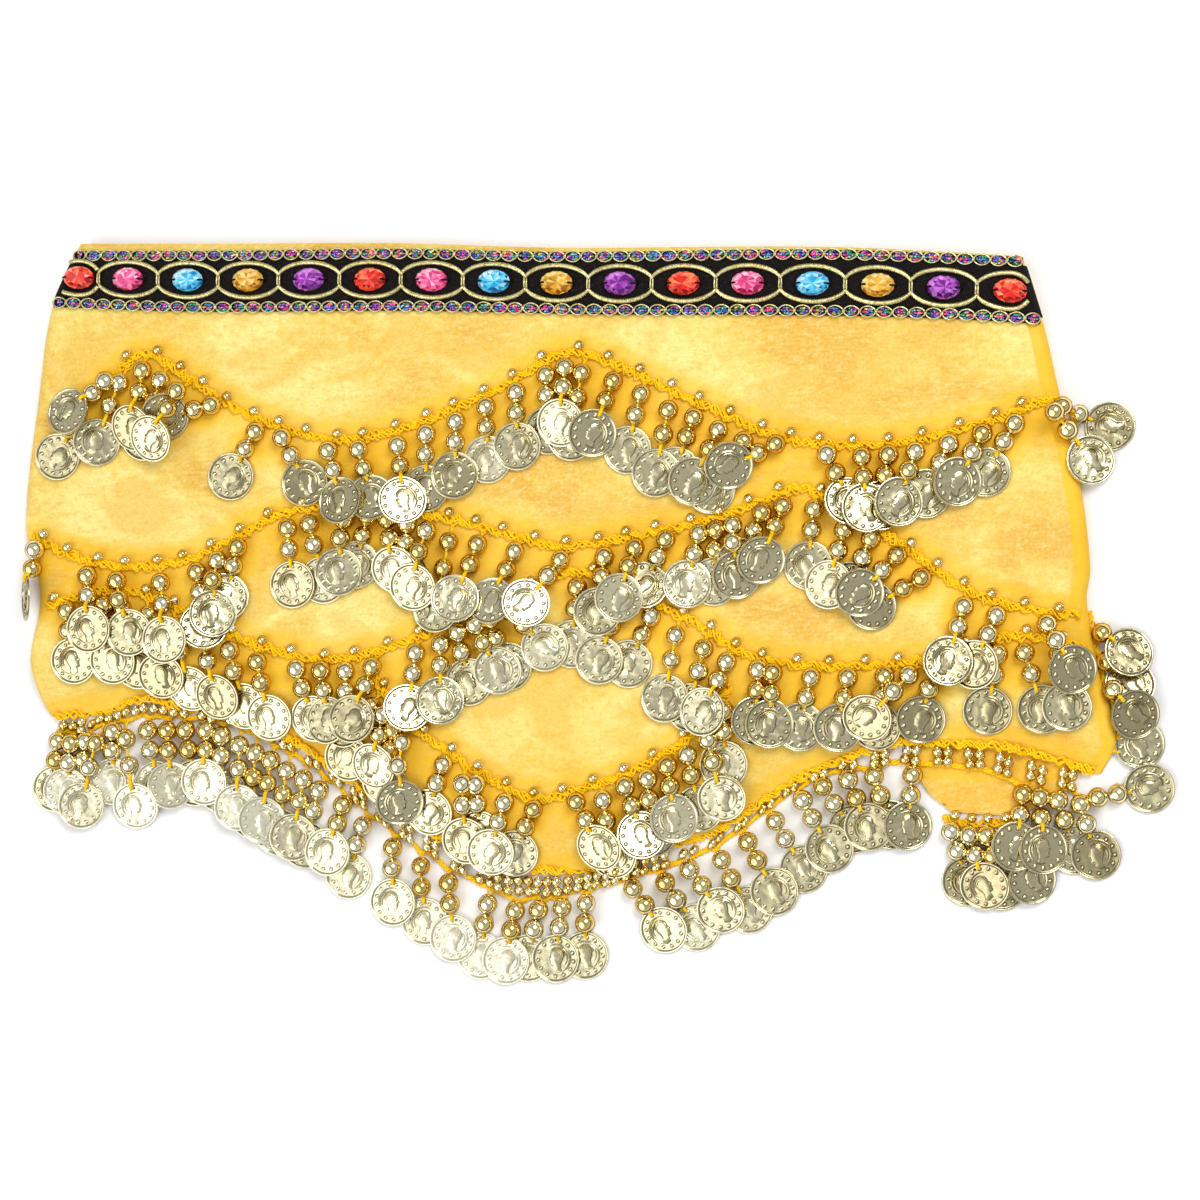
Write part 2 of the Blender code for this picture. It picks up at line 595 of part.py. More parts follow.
def build_row(relief, name, path, ends, bunches, width, seed, bead_count=2, thick=CROCHET_T):
    """Crochet strip along a path, laid on what is there; its drops hang from the far edge."""
    longest = 24.0
    stations = [ends[0]]
    coin_at = {}
    for root, *coin in hang_order(bunches, random.Random(seed)):
        begin = max(root - ROOT_W / 2, stations[-1] + LEAST_STEP)
        while begin - stations[-1] > longest:
            stations.append(stations[-1] + (begin - stations[-1]) / 2)
        coin_at[len(stations)] = coin
        stations += [begin, begin + ROOT_W]
    while ends[1] - stations[-1] > longest:
        stations.append((ends[1] + stations[-1]) / 2)
    stations.append(max(ends[1], stations[-1] + LEAST_STEP))
    near, far = [], []
    for s in stations:
        x, y = path(s)
        nx, ny = across(path, s)
        far.append((x + nx * width / 2, y + ny * width / 2))
        near.append((x - nx * width / 2, y - ny * width / 2))
    verts = strip_rings(relief, near, far, thick)
    faces = [(3, 2, 1, 0), tuple(range(len(verts) - 4, len(verts)))]
    hung = []
    for i in range(len(stations) - 1):
        sides = span([4 * i + k for k in range(4)], [4 * i + 4 + k for k in range(4)])
        if i in coin_at:
            a, b = 4 * i, 4 * (i + 1)
            sides.pop(1)
            hung.append(([a + 1, b + 1, b + 2, a + 2], coin_at[i]))
        faces += sides
    hang_all(relief, verts, faces, hung, bead_count)
    add_object(name, SHADES["crochet"], verts, faces)


# ------------------------------------------------------------------ hem
def net_groups():
    """Middles of the net's bead groups, evenly spaced along its foot."""
    step = 0.5
    places, walked, x = [], NET_PITCH * 0.6, NET_FOOT[0][0]
    while x < NET_FOOT[-1][0] - NET_RUNG_W:
        walked += math.hypot(step, smooth(NET_FOOT, x + step) - smooth(NET_FOOT, x))
        x += step
        if walked >= NET_PITCH:
            places.append(x)
            walked -= NET_PITCH
    return places


def net_stations(ends, roots, groups):
    """Stations along the net: both sides of each drop's root and of each bead group."""
    stations = [ends[0], ends[1]]
    for root in roots:
        stations += [root - ROOT_W / 2, root + ROOT_W / 2]
    for middle in groups:
        for side in (middle - NET_RUNG_W / 2, middle + NET_RUNG_W / 2):
            in_root = any(abs(side - root) < ROOT_W / 2 for root in roots)
            if not in_root and min(abs(side - s) for s in stations) >= LEAST_STEP:
                stations.append(side)
    return sorted(stations)


def build_net(relief):
    """Net below the velvet's hem: crochet along the top, bead groups as rungs, a cord along the
    foot, open between them. The fringe hangs from the cord."""
    lines = 4
    drops = hang_order(HEM_BUNCHES, random.Random(5))
    groups = net_groups()
    stations = net_stations((-232.5, 215.0), [d[0] for d in drops], groups)
    near = [(x, smooth(HEM_EDGE, x) - 0.6) for x in stations]
    far = [(x, smooth(NET_FOOT, x)) for x in stations]
    z_near, z_far = strip_heights(relief, near, far)
    verts = []
    for (x, ny), (_, fy), zn, zf in zip(near, far, z_near, z_far):
        depth = ny - fy
        shares = (0.0, min(NET_HEAD_W / depth, 0.36), 1.0 - min(NET_CORD_W / depth, 0.36), 1.0)
        for lift in (0.0, CROCHET_T):
            verts += [(x, ny - depth * s, zn + (zf - zn) * s + lift) for s in shares]
    faces, hung = [], []

    def is_rung(i):
        middle = (stations[i] + stations[i + 1]) / 2
        return any(abs(middle - g) < NET_RUNG_W / 2 for g in groups)

    coin_at = {stations.index(root - ROOT_W / 2): coin for root, *coin in drops}
    last = len(stations) - 2
    for i in range(last + 1):
        a, b = 2 * lines * i, 2 * lines * (i + 1)
        for k in (0, 1, 2) if is_rung(i) else (0, 2):
            top = [a + lines + k, a + lines + k + 1, b + lines + k + 1, b + lines + k]
            faces += [tuple(top), tuple(v - lines for v in reversed(top))]
            relief.lay_triangle(*(verts[v] for v in top[:3]))
            relief.lay_triangle(*(verts[v] for v in (top[0], top[2], top[3])))
        walls = [0] if is_rung(i) else [0, 1, 2]
        if i in coin_at:
            foot = lines - 1
            hung.append(([a + foot, b + foot, b + lines + foot, a + lines + foot], coin_at[i]))
        else:
            walls.append(lines - 1)
        faces += [(a + k, b + k, b + lines + k, a + lines + k) for k in walls]
        if i and is_rung(i) != is_rung(i - 1):
            faces.append((a + 1, a + 2, a + lines + 2, a + lines + 1))
    for at, i in ((0, 0), (2 * lines * (last + 1), last)):
        for k in (0, 1, 2) if is_rung(i) else (0, 2):
            faces.append((at + k, at + k + 1, at + lines + k + 1, at + lines + k))
    hang_all(relief, verts, faces, hung, 2)
    add_object("hem_fringe", SHADES["crochet"], verts, faces)


# ------------------------------------------------------------------ waist trim
def trim_point(u, share):
    """Point of the trim, u along the waist, share down from the waist edge."""
    xa, xb = WAIST_EDGE[0][0], WAIST_EDGE[-1][0]
    fa, fb = TRIM_FOOT[0][0], TRIM_FOOT[-1][0]
    head_x, foot_x = xa + (xb - xa) * u, fa + (fb - fa) * u
    head = np.array((head_x, smooth(WAIST_EDGE, head_x)))
    foot = np.array((foot_x, smooth(TRIM_FOOT, foot_x)))
    return tuple(head * (1 - share) + foot * share)


def build_trim_strip(relief, name, shade, shares, thick):
    stations = [0.004, 0.014, 0.03] + [0.03 + 0.94 * k / 11 for k in range(1, 11)]
    stations += [0.97, 0.986, 0.996]
    near = [trim_point(u, shares[0]) for u in stations]
    far = [trim_point(u, shares[1]) for u in stations]
    verts = strip_rings(relief, near, far, thick)
    faces = [(3, 2, 1, 0), tuple(range(len(verts) - 4, len(verts)))]
    for i in range(len(stations) - 1):
        faces += span([4 * i + k for k in range(4)], [4 * i + 4 + k for k in range(4)])
    add_object(name, SHADES[shade], verts, faces)


def trim_middle(x):
    head, foot = smooth(WAIST_EDGE, x + 4), smooth(TRIM_FOOT, x - 4)
    share = (BLACK_BAND[0] + BLACK_BAND[1]) / 2
    return head + (foot - head) * share


def jewel_places():
    places = [(JEWEL_FIRST_X - JEWEL_PITCH * 0.82, 0)]
    places += [(JEWEL_FIRST_X + JEWEL_PITCH * k, k + 1) for k in range(15)]
    return [(x, trim_middle(x), number) for x, number in places]


def build_scrolls(relief):
    """Gold cord laid in ovals that meet between the jewels, as one piece."""
    radius = SCROLL_D / 2
    joined = None
    for x, y, number in jewel_places():
        z = relief.top_near(x, y, SCROLL_L / 2) + CLEAR + radius
        least = JEWEL_L / 2 + 2.2
        left_reach = min(SCROLL_L / 2, max(least, x - smooth(LEFT_EDGE, y) - 2.5))
        right_reach = min(SCROLL_L / 2, max(least, smooth(RIGHT_EDGE, y) - x - 2.5))
        verts, faces = [], []
        for k in range(10):
            angle = math.tau * k / 10
            side_reach = right_reach if math.cos(angle) > 0 else left_reach
            for c, s in ((0.0, -1.0), (1.0, 0.35), (-1.0, 0.35)):
                reach_x = side_reach - radius + c * radius
                reach_y = SCROLL_W / 2 - radius + c * radius
                verts.append((x + reach_x * math.cos(angle), y + reach_y * math.sin(angle),
                              z + s * radius))
        for k in range(10):
            a, b = 3 * k, 3 * ((k + 1) % 10)
            faces += [(a + j, a + (j + 1) % 3, b + (j + 1) % 3, b + j) for j in range(3)]
        oval = add_object("scroll_cord" if joined is None else f"oval_{number}", SHADES["gold"],
                          verts, faces)
        if joined is None:
            joined = oval
            continue
        union = joined.modifiers.new("union", "BOOLEAN")
        union.operation = "UNION"
        union.solver = "EXACT"
        union.object = oval
        bpy.context.view_layer.update()
        shape = bpy.data.meshes.new_from_object(
            joined.evaluated_get(bpy.context.evaluated_depsgraph_get()))
        joined.modifiers.clear()
        joined.data = shape
        bpy.data.objects.remove(oval)


def build_jewels(relief):
    for x, y, number in jewel_places():
        z = relief.top_near(x, y, JEWEL_L / 2) + CLEAR
        verts, faces = [], []
        # columns: height share, size share
        for rise, size in ((0.0, 0.92), (0.30, 1.0), (1.0, 0.50)):
            for k in range(8):
                angle = math.tau * (k + 0.5) / 8
                verts.append((x + JEWEL_L / 2 * size * math.cos(angle),
                              y + JEWEL_W / 2 * size * math.sin(angle), z + JEWEL_H * rise))
        for ring in (0, 8):
            faces += [(ring + k, ring + (k + 1) % 8, ring + 8 + (k + 1) % 8, ring + 8 + k)
                      for k in range(8)]
        faces += [tuple(reversed(range(8))), tuple(range(16, 24))]
        shade = (JEWEL_SHADES[number % 5], 0.15, 0.0)
        add_object(f"jewel_{number:02d}", shade, verts, faces)


# ------------------------------------------------------------------ whole scarf
def main():
    for thing in list(bpy.data.objects):
        bpy.data.objects.remove(thing)
    relief = Relief()
    build_layers()
    build_corner(relief)
    build_row(relief, "back_fringe", row_path(BACK_WAVE), (154.0, 182.0), BACK_BUNCHES, 3.0, 7)
    build_row(relief, "side_fringe", side_path(SIDE_WAVE), (-57.0, -2.0), SIDE_BUNCHES, 2.0, 8,
              bead_count=1, thick=1.0)
    build_front(relief)
    build_net(relief)
    for number, wave, bunches in ((4, WAVE_4, BUNCHES_4), (3, WAVE_3, BUNCHES_3),
                                  (2, WAVE_2, BUNCHES_2), (1, WAVE_1, BUNCHES_1)):
        ends = (wave[0][0], wave[-1][0])
        build_row(relief, f"coin_row_{number}", row_path(wave), ends, bunches, CROCHET_W, number)
    cloth = relief.height.copy()
    for name, shade, shares, thick in (("braid_upper", "braid", UPPER_BRAID, BRAID_T),
                                       ("braid_lower", "braid", LOWER_BRAID, BRAID_T),
                                       ("waist_band", "black", BLACK_BAND, BAND_T)):
        relief.height = cloth.copy()
        build_trim_strip(relief, name, shade, shares, thick)
    build_scrolls(relief)
    build_jewels(relief)


main()
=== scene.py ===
import math
import random

import bpy
import numpy as np
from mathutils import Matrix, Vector
from mathutils.bvhtree import BVHTree
from mathutils.geometry import delaunay_2d_cdt


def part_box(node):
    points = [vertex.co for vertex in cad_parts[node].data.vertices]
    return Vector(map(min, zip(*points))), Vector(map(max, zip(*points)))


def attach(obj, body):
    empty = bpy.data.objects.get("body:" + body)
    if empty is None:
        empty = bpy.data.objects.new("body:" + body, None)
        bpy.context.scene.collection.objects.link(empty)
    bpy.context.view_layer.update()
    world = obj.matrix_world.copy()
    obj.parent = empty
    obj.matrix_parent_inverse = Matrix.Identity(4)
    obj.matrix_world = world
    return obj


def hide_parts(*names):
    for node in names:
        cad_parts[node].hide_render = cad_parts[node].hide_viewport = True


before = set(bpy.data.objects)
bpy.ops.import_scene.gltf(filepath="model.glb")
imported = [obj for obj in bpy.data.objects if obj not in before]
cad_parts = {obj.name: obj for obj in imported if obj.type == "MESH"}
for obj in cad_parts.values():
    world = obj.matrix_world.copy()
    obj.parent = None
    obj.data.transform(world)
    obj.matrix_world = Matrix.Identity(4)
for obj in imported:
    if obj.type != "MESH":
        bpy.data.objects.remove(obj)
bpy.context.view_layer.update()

MM = 0.001
UP = np.array((0.0, 0.0, 1.0))

# ---- sizes shared with the solids
WALL = 1.3
CLEAR = 0.45
LAYERS_TOP = 6.4
FOLD_ROUND, FOLD_EDGE = 6.0, 4.0
HEM_FALL, HEM_EDGE_H = 28.0, 1.9
WAIST_FALL, WAIST_EDGE_H = 4.0, 7.0
COIN_R, COIN_T = 10.0, 0.6
BEAD_R = 3.4
JEWELS, JEWEL_PITCH, JEWEL_FIRST_X = 16, 26.9, -196.0
END_PITCH = 0.82        # from the jewel at the left fold to the next, as a share of the pitch
JEWEL_L, JEWEL_W, JEWEL_H = 14.0, 10.0, 3.6
NET_PITCH, NET_RUNG_W = 13.0, 5.0

# ---- sizes of the finish
BEAD_SHOWN_R = 4.2
BEAD_GROWS = 1.04       # the largest bead, as a share of that
SMALL_BEAD_R = 2.15
COIN_SHOWN = 1.03
FACE_CHANCE, FLIP_CHANCE = 0.55, 0.45   # that a coin is stamped strongly, and mirrored
HOLE_AT = 7.65          # a coin's hole, from its centre
THREAD_R = 0.47
# threads between a strand's two beads, over its coin's rim and under it
STRAND_R, OVER_R, UNDER_R = 0.6, 0.8, 0.5
VELVET_T = 1.1
NAP = 0.25              # the velvet's face over its solid
CREASE_GAIN = 1.6       # how much stronger creases are than their heights in the table
BEAD_SHADE_R, LACE_SHADE_R = 8.5, 6.0   # reach of the velvet's deeper colour by beads and laces
LACE_STEP = 0.75        # between the points of a crochet strand
JEWEL_HOLE = 0.79       # a stone's holes, as a share of the way from its middle to its ends
TRIM_DEPTH = 28.0
BRAID_CELL = 6.7        # from tie to tie
BRAID_CORD_R, BRAID_TIE_R = 0.36, 0.26
FOIL_RS = (0.36, 0.6, 0.36)     # a foil stitch at its start, middle and end
NET_BEAD_AT = 2.2       # the net's beads, from the middle of their group
SEED = 11

# outline of the front; columns: x, y
WAIST_EDGE = ((-220, 159.5), (-150, 158), (-76, 156.5), (-6, 153), (103, 151), (185.5, 145.5))
HEM_EDGE = (
    (-234, -46.5), (-209, -43.5), (-190.5, -38), (-172, -42.5), (-148.5, -46.5), (-126, -55),
    (-104, -69.5), (-68.5, -91.5), (-36.5, -107), (-7.5, -110), (8.5, -108.5), (27, -101.5),
    (50, -95.5), (66.5, -87.5), (83.5, -76), (102.5, -65.5), (133.5, -54.5), (152.5, -54.5),
    (178, -55.5), (197.5, -60.5), (217.5, -66.5),
)
# columns: y, x
LEFT_EDGE = ((-46.5, -234), (-34, -240), (-21, -243), (6.5, -238.5), (37, -245), (97, -238.5),
             (131.5, -233), (159.5, -220))
RIGHT_EDGE = ((-66.5, 217.5), (-52.5, 223.5), (-25, 216.5), (4.5, 211.5), (17.5, 213),
              (55, 208.5), (91.5, 200), (116, 194.5), (145.5, 185.5))
# lower line of the jewelled trim; columns: x, y
TRIM_FOOT = ((-233, 131), (-170, 127.5), (-67, 126), (16.5, 123), (86.5, 121.5), (152.5, 119),
             (194.5, 116))
# parts of the trim, as shares of its depth from the waist edge; columns: from, to
UPPER_BRAID, BLACK_BAND, LOWER_BRAID = (0.07, 0.24), (0.26, 0.79), (0.81, 0.98)
# broad swells where the layers below are bunched; columns: x, y, reach along x, along y, height
SWELLS = (
    (-150, 60, 45, 22, 0.9), (-60, 110, 50, 14, 0.5), (20, 65, 40, 26, 0.8), (110, 95, 38, 20, 0.9),
    (150, 10, 30, 24, 0.6), (-60, -20, 42, 20, 0.7), (60, -5, 36, 16, 0.8), (-180, 0, 30, 18, 0.5),
)
# how far in from the edges swells and creases reach their full height
SWELLS_IN, CREASES_IN = 40.0, 8.0
# the hem's edge where it lies over the back layer's corner
CORNER_X, CORNER_REACH, CORNER_LIFT = 161.0, 36.0, 1.9
# the crochet rows' waves; columns: x, y
WAVES = {
    "coin_row_1": (
        (-220, 87.5), (-201, 103.5), (-189, 111), (-172, 102), (-144, 84.5), (-105, 73), (-79.5, 76),
        (-34, 93), (-4.5, 108.5), (13.5, 104.5), (52, 87), (87.5, 72), (128.5, 68.5), (176.5, 79),
        (195.5, 86.5), (202, 85),
    ),
    "coin_row_2": (
        (-240, 33), (-223, 24), (-199, 19), (-171, 21.5), (-146, 32.5), (-126, 42), (-97, 45),
        (-64, 41), (-26, 31.5), (-4.5, 27), (36, 33.5), (60, 38.5), (81, 46.5), (96, 51),
        (113.5, 40.5), (135, 28.5), (165, 7.5), (197.5, -1), (209, -1),
    ),
    "coin_row_3": (
        (-233.5, 2), (-220, 6), (-206.5, 9), (-185, 5.5), (-148.5, -11), (-131.5, -17),
        (-110.5, -21), (-84.5, -17), (-32, 3), (0, 16.5), (19, 9.5), (53.5, -6.5), (67.5, -16),
        (81, -20.5), (103.5, -23), (141, -21), (160.5, -16), (181.5, -10), (212, -15),
    ),
    "coin_row_4": (
        (-87, -28), (-82.5, -35.5), (-75.5, -45.5), (-59.5, -56.5), (-40.5, -69), (-17.5, -79),
        (5, -74), (22.5, -68), (45, -55), (57, -43.5), (65.5, -31),
    ),
}
# foot of the hem's net; columns: x, y
NET_FOOT = (
    (-232, -54), (-219.5, -55), (-209, -50), (-190, -47), (-157.5, -49), (-138.5, -56), (-115, -69),
    (-92, -88), (-64.5, -106), (-37.5, -120.5), (-21, -124), (-5.5, -121.5), (33.5, -111),
    (58.5, -100), (81.5, -83.5), (96, -73), (115, -67), (141.5, -65), (165, -66.5), (184, -72),
    (216, -77),
)
# the back layer's corner and its fringe; columns: x, y
BACK_CORNER = ((134, -48), (143, -66), (152, -82), (180, -84), (188, -50))
BACK_WAVE = ((153, -85), (160, -87.5), (170, -88), (183, -87))
# the back layer's edge beyond the right side fold; columns: y, x
SIDE_WAVE = ((-58, 223.5), (-50, 224), (-25, 217.5), (0, 212.5))
# creases and soft ridges of the velvet, each between two points; columns: x, y, x, y, width, height
CREASES = (
    (-226, 40, -232, 92, 5, -0.9), (-214, 20, -222, 70, 9, 0.35), (-196, 62, -140, 50, 7, -0.7),
    (-205, 46, -158, 38, 6, -0.5), (-228, 112, -196, 122, 6, -0.6), (-120, 116, -60, 100, 9, -0.7),
    (-70, 118, -20, 118, 5, -0.4), (20, 116, 84, 92, 8, -0.7), (60, 114, 120, 104, 6, -0.5),
    (118, 92, 182, 96, 9, -0.9), (120, 110, 176, 114, 5, 0.3), (134, 84, 168, 88, 4, 0.3),
    (190, 92, 202, 28, 6, -0.8), (182, 58, 196, 6, 5, 0.3), (158, 50, 186, 34, 6, -0.7),
    (30, 84, 10, 60, 7, -0.6), (-20, 88, -10, 62, 6, -0.5), (-96, 34, -52, 28, 7, -0.6),
    (90, 42, 112, 22, 7, -0.7), (-60, -6, -20, -26, 7, -0.6), (-24, -8, 26, -22, 8, -0.7),
    (-52, -60, -20, -64, 8, -0.6), (0, -50, 34, -40, 7, -0.6), (90, -28, 120, -58, 6, -0.5),
    (-228, -8, -214, -34, 5, -0.6), (-196, -18, -160, -34, 7, -0.5), (206, -22, 216, -56, 4, -0.7),
    (196, -30, 200, -54, 4, -0.5),
)


# ---- curves
def join(*columns):
    """Rows of numbers from their columns; a single number fills its column."""
    return np.stack(np.broadcast_arrays(*columns), axis=-1)


def unit(v):
    v = np.asarray(v, float)
    return v / np.maximum(np.linalg.norm(v, axis=-1, keepdims=True), 1e-9)


def smooth(table, at):
    """Values of the smooth curve through a table's rows (position, value), at positions."""
    xs, ys = np.array(table, float).T
    slopes = np.empty_like(ys)
    slopes[1:-1] = (ys[2:] - ys[:-2]) / (xs[2:] - xs[:-2])
    slopes[[0, -1]] = (np.diff(ys) / np.diff(xs))[[0, -1]]
    at = np.clip(at, xs[0], xs[-1])
    k = np.clip(np.searchsorted(xs, at) - 1, 0, len(xs) - 2)
    span = xs[k + 1] - xs[k]
    t = (at - xs[k]) / span
    return ((2 * t**3 - 3 * t**2 + 1) * ys[k] + (t**3 - 2 * t**2 + t) * span * slopes[k]
            + (3 * t**2 - 2 * t**3) * ys[k + 1] + (t**3 - t**2) * span * slopes[k + 1])


def lengths(path):
    """How far along a path each of its points lies."""
    return np.concatenate([[0.0], np.linalg.norm(np.diff(path, axis=0), axis=1).cumsum()])


def even(walked, step):
    """Lengths about every step along a path."""
    return np.linspace(0.0, walked[-1], max(int(walked[-1] / step), 2) + 1)


def between(places, rows, at):
    """Rows given at places, read at others."""
    return join(*(np.interp(at, places, column) for column in rows.T))


def curve(table, step, swap=False):
    """Points every step along a table's curve, the unit vectors to its right, and lengths."""
    low, high = table[0][0], table[-1][0]
    fine = np.linspace(low, high, int(high - low) * 4 + 2)
    line = join(fine, smooth(table, fine))[:, ::-1 if swap else 1]
    walked = lengths(line)
    at = even(walked, step)
    points = between(walked, line, at)
    ahead = unit(np.gradient(points, axis=0))
    return points, join(ahead[:, 1], -ahead[:, 0]), at


def bend(points, step):
    """A smooth path through a few points, with a point about every step."""
    points = np.asarray(points, float)
    walked = lengths(points)
    keep = np.concatenate([[True], np.diff(walked) > 1e-6])
    points, walked = points[keep], walked[keep]
    return join(*(smooth(join(walked, column), even(walked, step)) for column in points.T))


def front_point(u, v):
    """Points of the front, u from the left fold to the right, v from the hem to the waist."""
    (xa, ya), (xb, yb) = HEM_EDGE[0], HEM_EDGE[-1]
    (xc, yc), (xd, yd) = WAIST_EDGE[0], WAIST_EDGE[-1]
    hem_x, waist_x = xa + (xb - xa) * u, xc + (xd - xc) * u
    left_y, right_y = ya + (yc - ya) * v, yb + (yd - yb) * v
    hem = np.stack([hem_x, smooth(HEM_EDGE, hem_x)])
    waist = np.stack([waist_x, smooth(WAIST_EDGE, waist_x)])
    left = np.stack([smooth(LEFT_EDGE, left_y), left_y])
    right = np.stack([smooth(RIGHT_EDGE, right_y), right_y])
    corners = [(1 - u) * (1 - v) * a + u * (1 - v) * b + (1 - u) * v * c + u * v * d
               for a, b, c, d in ((xa, xb, xc, xd), (ya, yb, yc, yd))]
    return (1 - v) * hem + v * waist + (1 - u) * left + u * right - np.stack(corners)


def inside(x, y):
    """How far points lie inside the front's left, right, hem and waist edges."""
    return (x - smooth(LEFT_EDGE, y), smooth(RIGHT_EDGE, y) - x,
            y - smooth(HEM_EDGE, x), smooth(WAIST_EDGE, x) - y)


def front_height(x, y):
    """Heights of the velvet's face over points of the front, without its creases."""
    full = LAYERS_TOP + CLEAR + WALL + NAP

    def fall(distance, reach, edge):
        t = np.clip(distance / reach, 0.0, 1.0)
        return edge + (full - edge) * np.sqrt(1.0 - (1.0 - t) ** 2)

    left, right, hem, waist = away = inside(x, y)
    edge = HEM_EDGE_H + CORNER_LIFT * np.exp(-((x - CORNER_X) / CORNER_REACH) ** 4)
    hem = edge + (full - edge) * np.sin(np.clip(hem / HEM_FALL, 0.0, 1.0) * math.pi / 2)
    height = np.minimum.reduce((fall(left, FOLD_ROUND, FOLD_EDGE), fall(right, FOLD_ROUND, FOLD_EDGE),
                                fall(waist, WAIST_FALL, WAIST_EDGE_H), hem))
    swell = sum(h * np.exp(-((x - a) / p) ** 2 - ((y - b) / q) ** 2) for a, b, p, q, h in SWELLS)
    return height + swell * np.clip(np.minimum.reduce(away) / SWELLS_IN, 0.0, 1.0)


def over_front(x, y, lift):
    """Points over the velvet, lift above the gap that everything on it keeps."""
    return join(x, y, front_height(x, y) + CLEAR + lift)


def crease_height(x, y):
    """Soft troughs and ridges, bowed and wavy, and uneven in depth along their length."""
    bowed, wavy, change = 2.5, 1.2, 0.25
    total = np.zeros_like(x)
    for number, (xa, ya, xb, yb, width, height) in enumerate(CREASES):
        length = math.hypot(xb - xa, yb - ya)
        ax, ay = (xb - xa) / length, (yb - ya) / length
        along = ((x - xa) * ax + (y - ya) * ay) / length
        bow = bowed * np.sin(along * math.pi + number) + wavy * np.sin(along * 9 + number * 1.7)
        side = -(x - xa) * ay + (y - ya) * ax - bow
        # each end fades over a third of the length
        ends = np.clip(along * 3, 0, 1) * np.clip((1 - along) * 3, 0, 1)
        uneven = 1 - change + change * np.sin(along * 7 + number * 2.3)
        sharp = np.exp(-np.abs(side / width) ** 1.6)
        total += CREASE_GAIN * height * ends * ends * (3 - 2 * ends) * uneven * sharp
    return total


# ---- meshes
def rows_of_quads(rows, columns, closed=True):
    """Quads between rows of points; closed joins each row's end to its start."""
    j, i = np.meshgrid(np.arange(columns if closed else columns - 1), np.arange(rows - 1))
    i, j, k = i.ravel(), j.ravel(), (j.ravel() + 1) % columns
    return join(i * columns + j, i * columns + k, (i + 1) * columns + k, (i + 1) * columns + j)


def fan(centre, ring):
    """Triangles from a point to a closed ring of points."""
    return join(centre, ring, np.roll(ring, -1))


def spokes(count, shift=0.0):
    """Angles evenly round a circle."""
    return math.tau * (np.arange(count) + shift) / count


def circle(radius, count, z, x=0.0, y=0.0):
    angle = spokes(count)
    return join(x + radius * np.cos(angle), y + radius * np.sin(angle), z)


class Pile:
    """One piece's points and faces, gathered in millimetres from many small shapes."""

    def __init__(self):
        self.points, self.tones, self.places, self.faces = [], [], [], []
        self.count = 0

    def add(self, points, faces, tone=0.5, place=None):
        """faces is a list of arrays; an array's faces have the same number of corners."""
        points = np.asarray(points, float)
        self.points.append(points)
        self.tones.append(np.broadcast_to(np.asarray(tone, float), len(points)))
        self.places.append(points if place is None else place)
        self.faces += [np.asarray(group) + self.count for group in faces if len(group)]
        self.count += len(points)

    def copy(self, shape, origin, axes, tone, flip=False, scale=1.0):
        """Add a copy of another pile, its x, y and z along the rows of axes."""
        local, places = np.concatenate(shape.points), np.concatenate(shape.places)
        faces = shape.faces
        if flip:
            local = local * (-1.0, 1.0, 1.0)
            faces = [group[:, ::-1] for group in faces]
        self.add(origin + scale * (local @ np.asarray(axes)), faces, tone, places)

    def strand(self, path, radius, step=None, sides=5, squash=1.0, tone=0.5):
        """Add a strand along a path, or along a smooth curve through it where step is given."""
        path = bend(path, step) if step else np.asarray(path, float)
        ahead = unit(np.gradient(path, axis=0))
        side = np.cross(ahead, UP)
        steep = np.linalg.norm(side, axis=1) < 0.05
        side[steep] = np.cross(ahead[steep], (0.0, 1.0, 0.0))
        side = unit(side)
        up = np.cross(side, ahead)
        angle = spokes(sides, 0.5)
        ring = side[:, None] * np.cos(angle)[:, None] + up[:, None] * squash * np.sin(angle)[:, None]
        radius = np.broadcast_to(radius, len(path))[:, None, None]
        points = (path[:, None] + radius * ring).reshape(-1, 3)
        count = len(points)
        self.add(np.concatenate([points, path[[0, -1]]]),
                 [rows_of_quads(len(path), sides)[:, ::-1], fan(count, np.arange(sides)),
                  fan(count + 1, np.arange(count - sides, count))[:, ::-1]], tone)

    def make(self, name, material, slot, node=None, crease=None):
        """The piece; node is the solid that it stands for, crease is in degrees, 0 for flat faces."""
        mesh = bpy.data.meshes.new(name)
        points = np.concatenate(self.points) * MM
        points[:, 2] = np.maximum(points[:, 2], 0.0)
        loops = np.concatenate([group.ravel() for group in self.faces])
        totals = np.concatenate([np.full(len(g), g.shape[1]) for g in self.faces])
        mesh.vertices.add(len(points))
        mesh.vertices.foreach_set("co", points.ravel())
        mesh.loops.add(len(loops))
        mesh.loops.foreach_set("vertex_index", loops)
        mesh.polygons.add(len(totals))
        mesh.polygons.foreach_set("loop_start", np.concatenate([[0], totals.cumsum()[:-1]]))
        mesh.update(calc_edges=True)
        for key, kind, field, rows in (("tone", "FLOAT", "value", self.tones),
                                       ("place", "FLOAT_VECTOR", "vector", self.places)):
            data = mesh.attributes.new(key, kind, "POINT").data
            data.foreach_set(field, np.concatenate(rows).ravel())
        mesh.materials.append(material)
        if crease != 0:
            mesh.shade_smooth()
        if crease:
            mesh.set_sharp_from_angle(angle=math.radians(crease))
        thing = bpy.data.objects.new(name, mesh)
        bpy.context.scene.collection.objects.link(thing)
        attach(thing, "root")
        if node:
            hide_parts(node)
        return thing


# ---- materials
def colour(red, green, blue):
    """Linear colour from 0 to 255 values as seen on a screen."""
    return tuple(c / 12.92 if c <= 0.04045 else ((c + 0.055) / 1.055) ** 2.4
                 for c in (red / 255, green / 255, blue / 255)) + (1.0,)


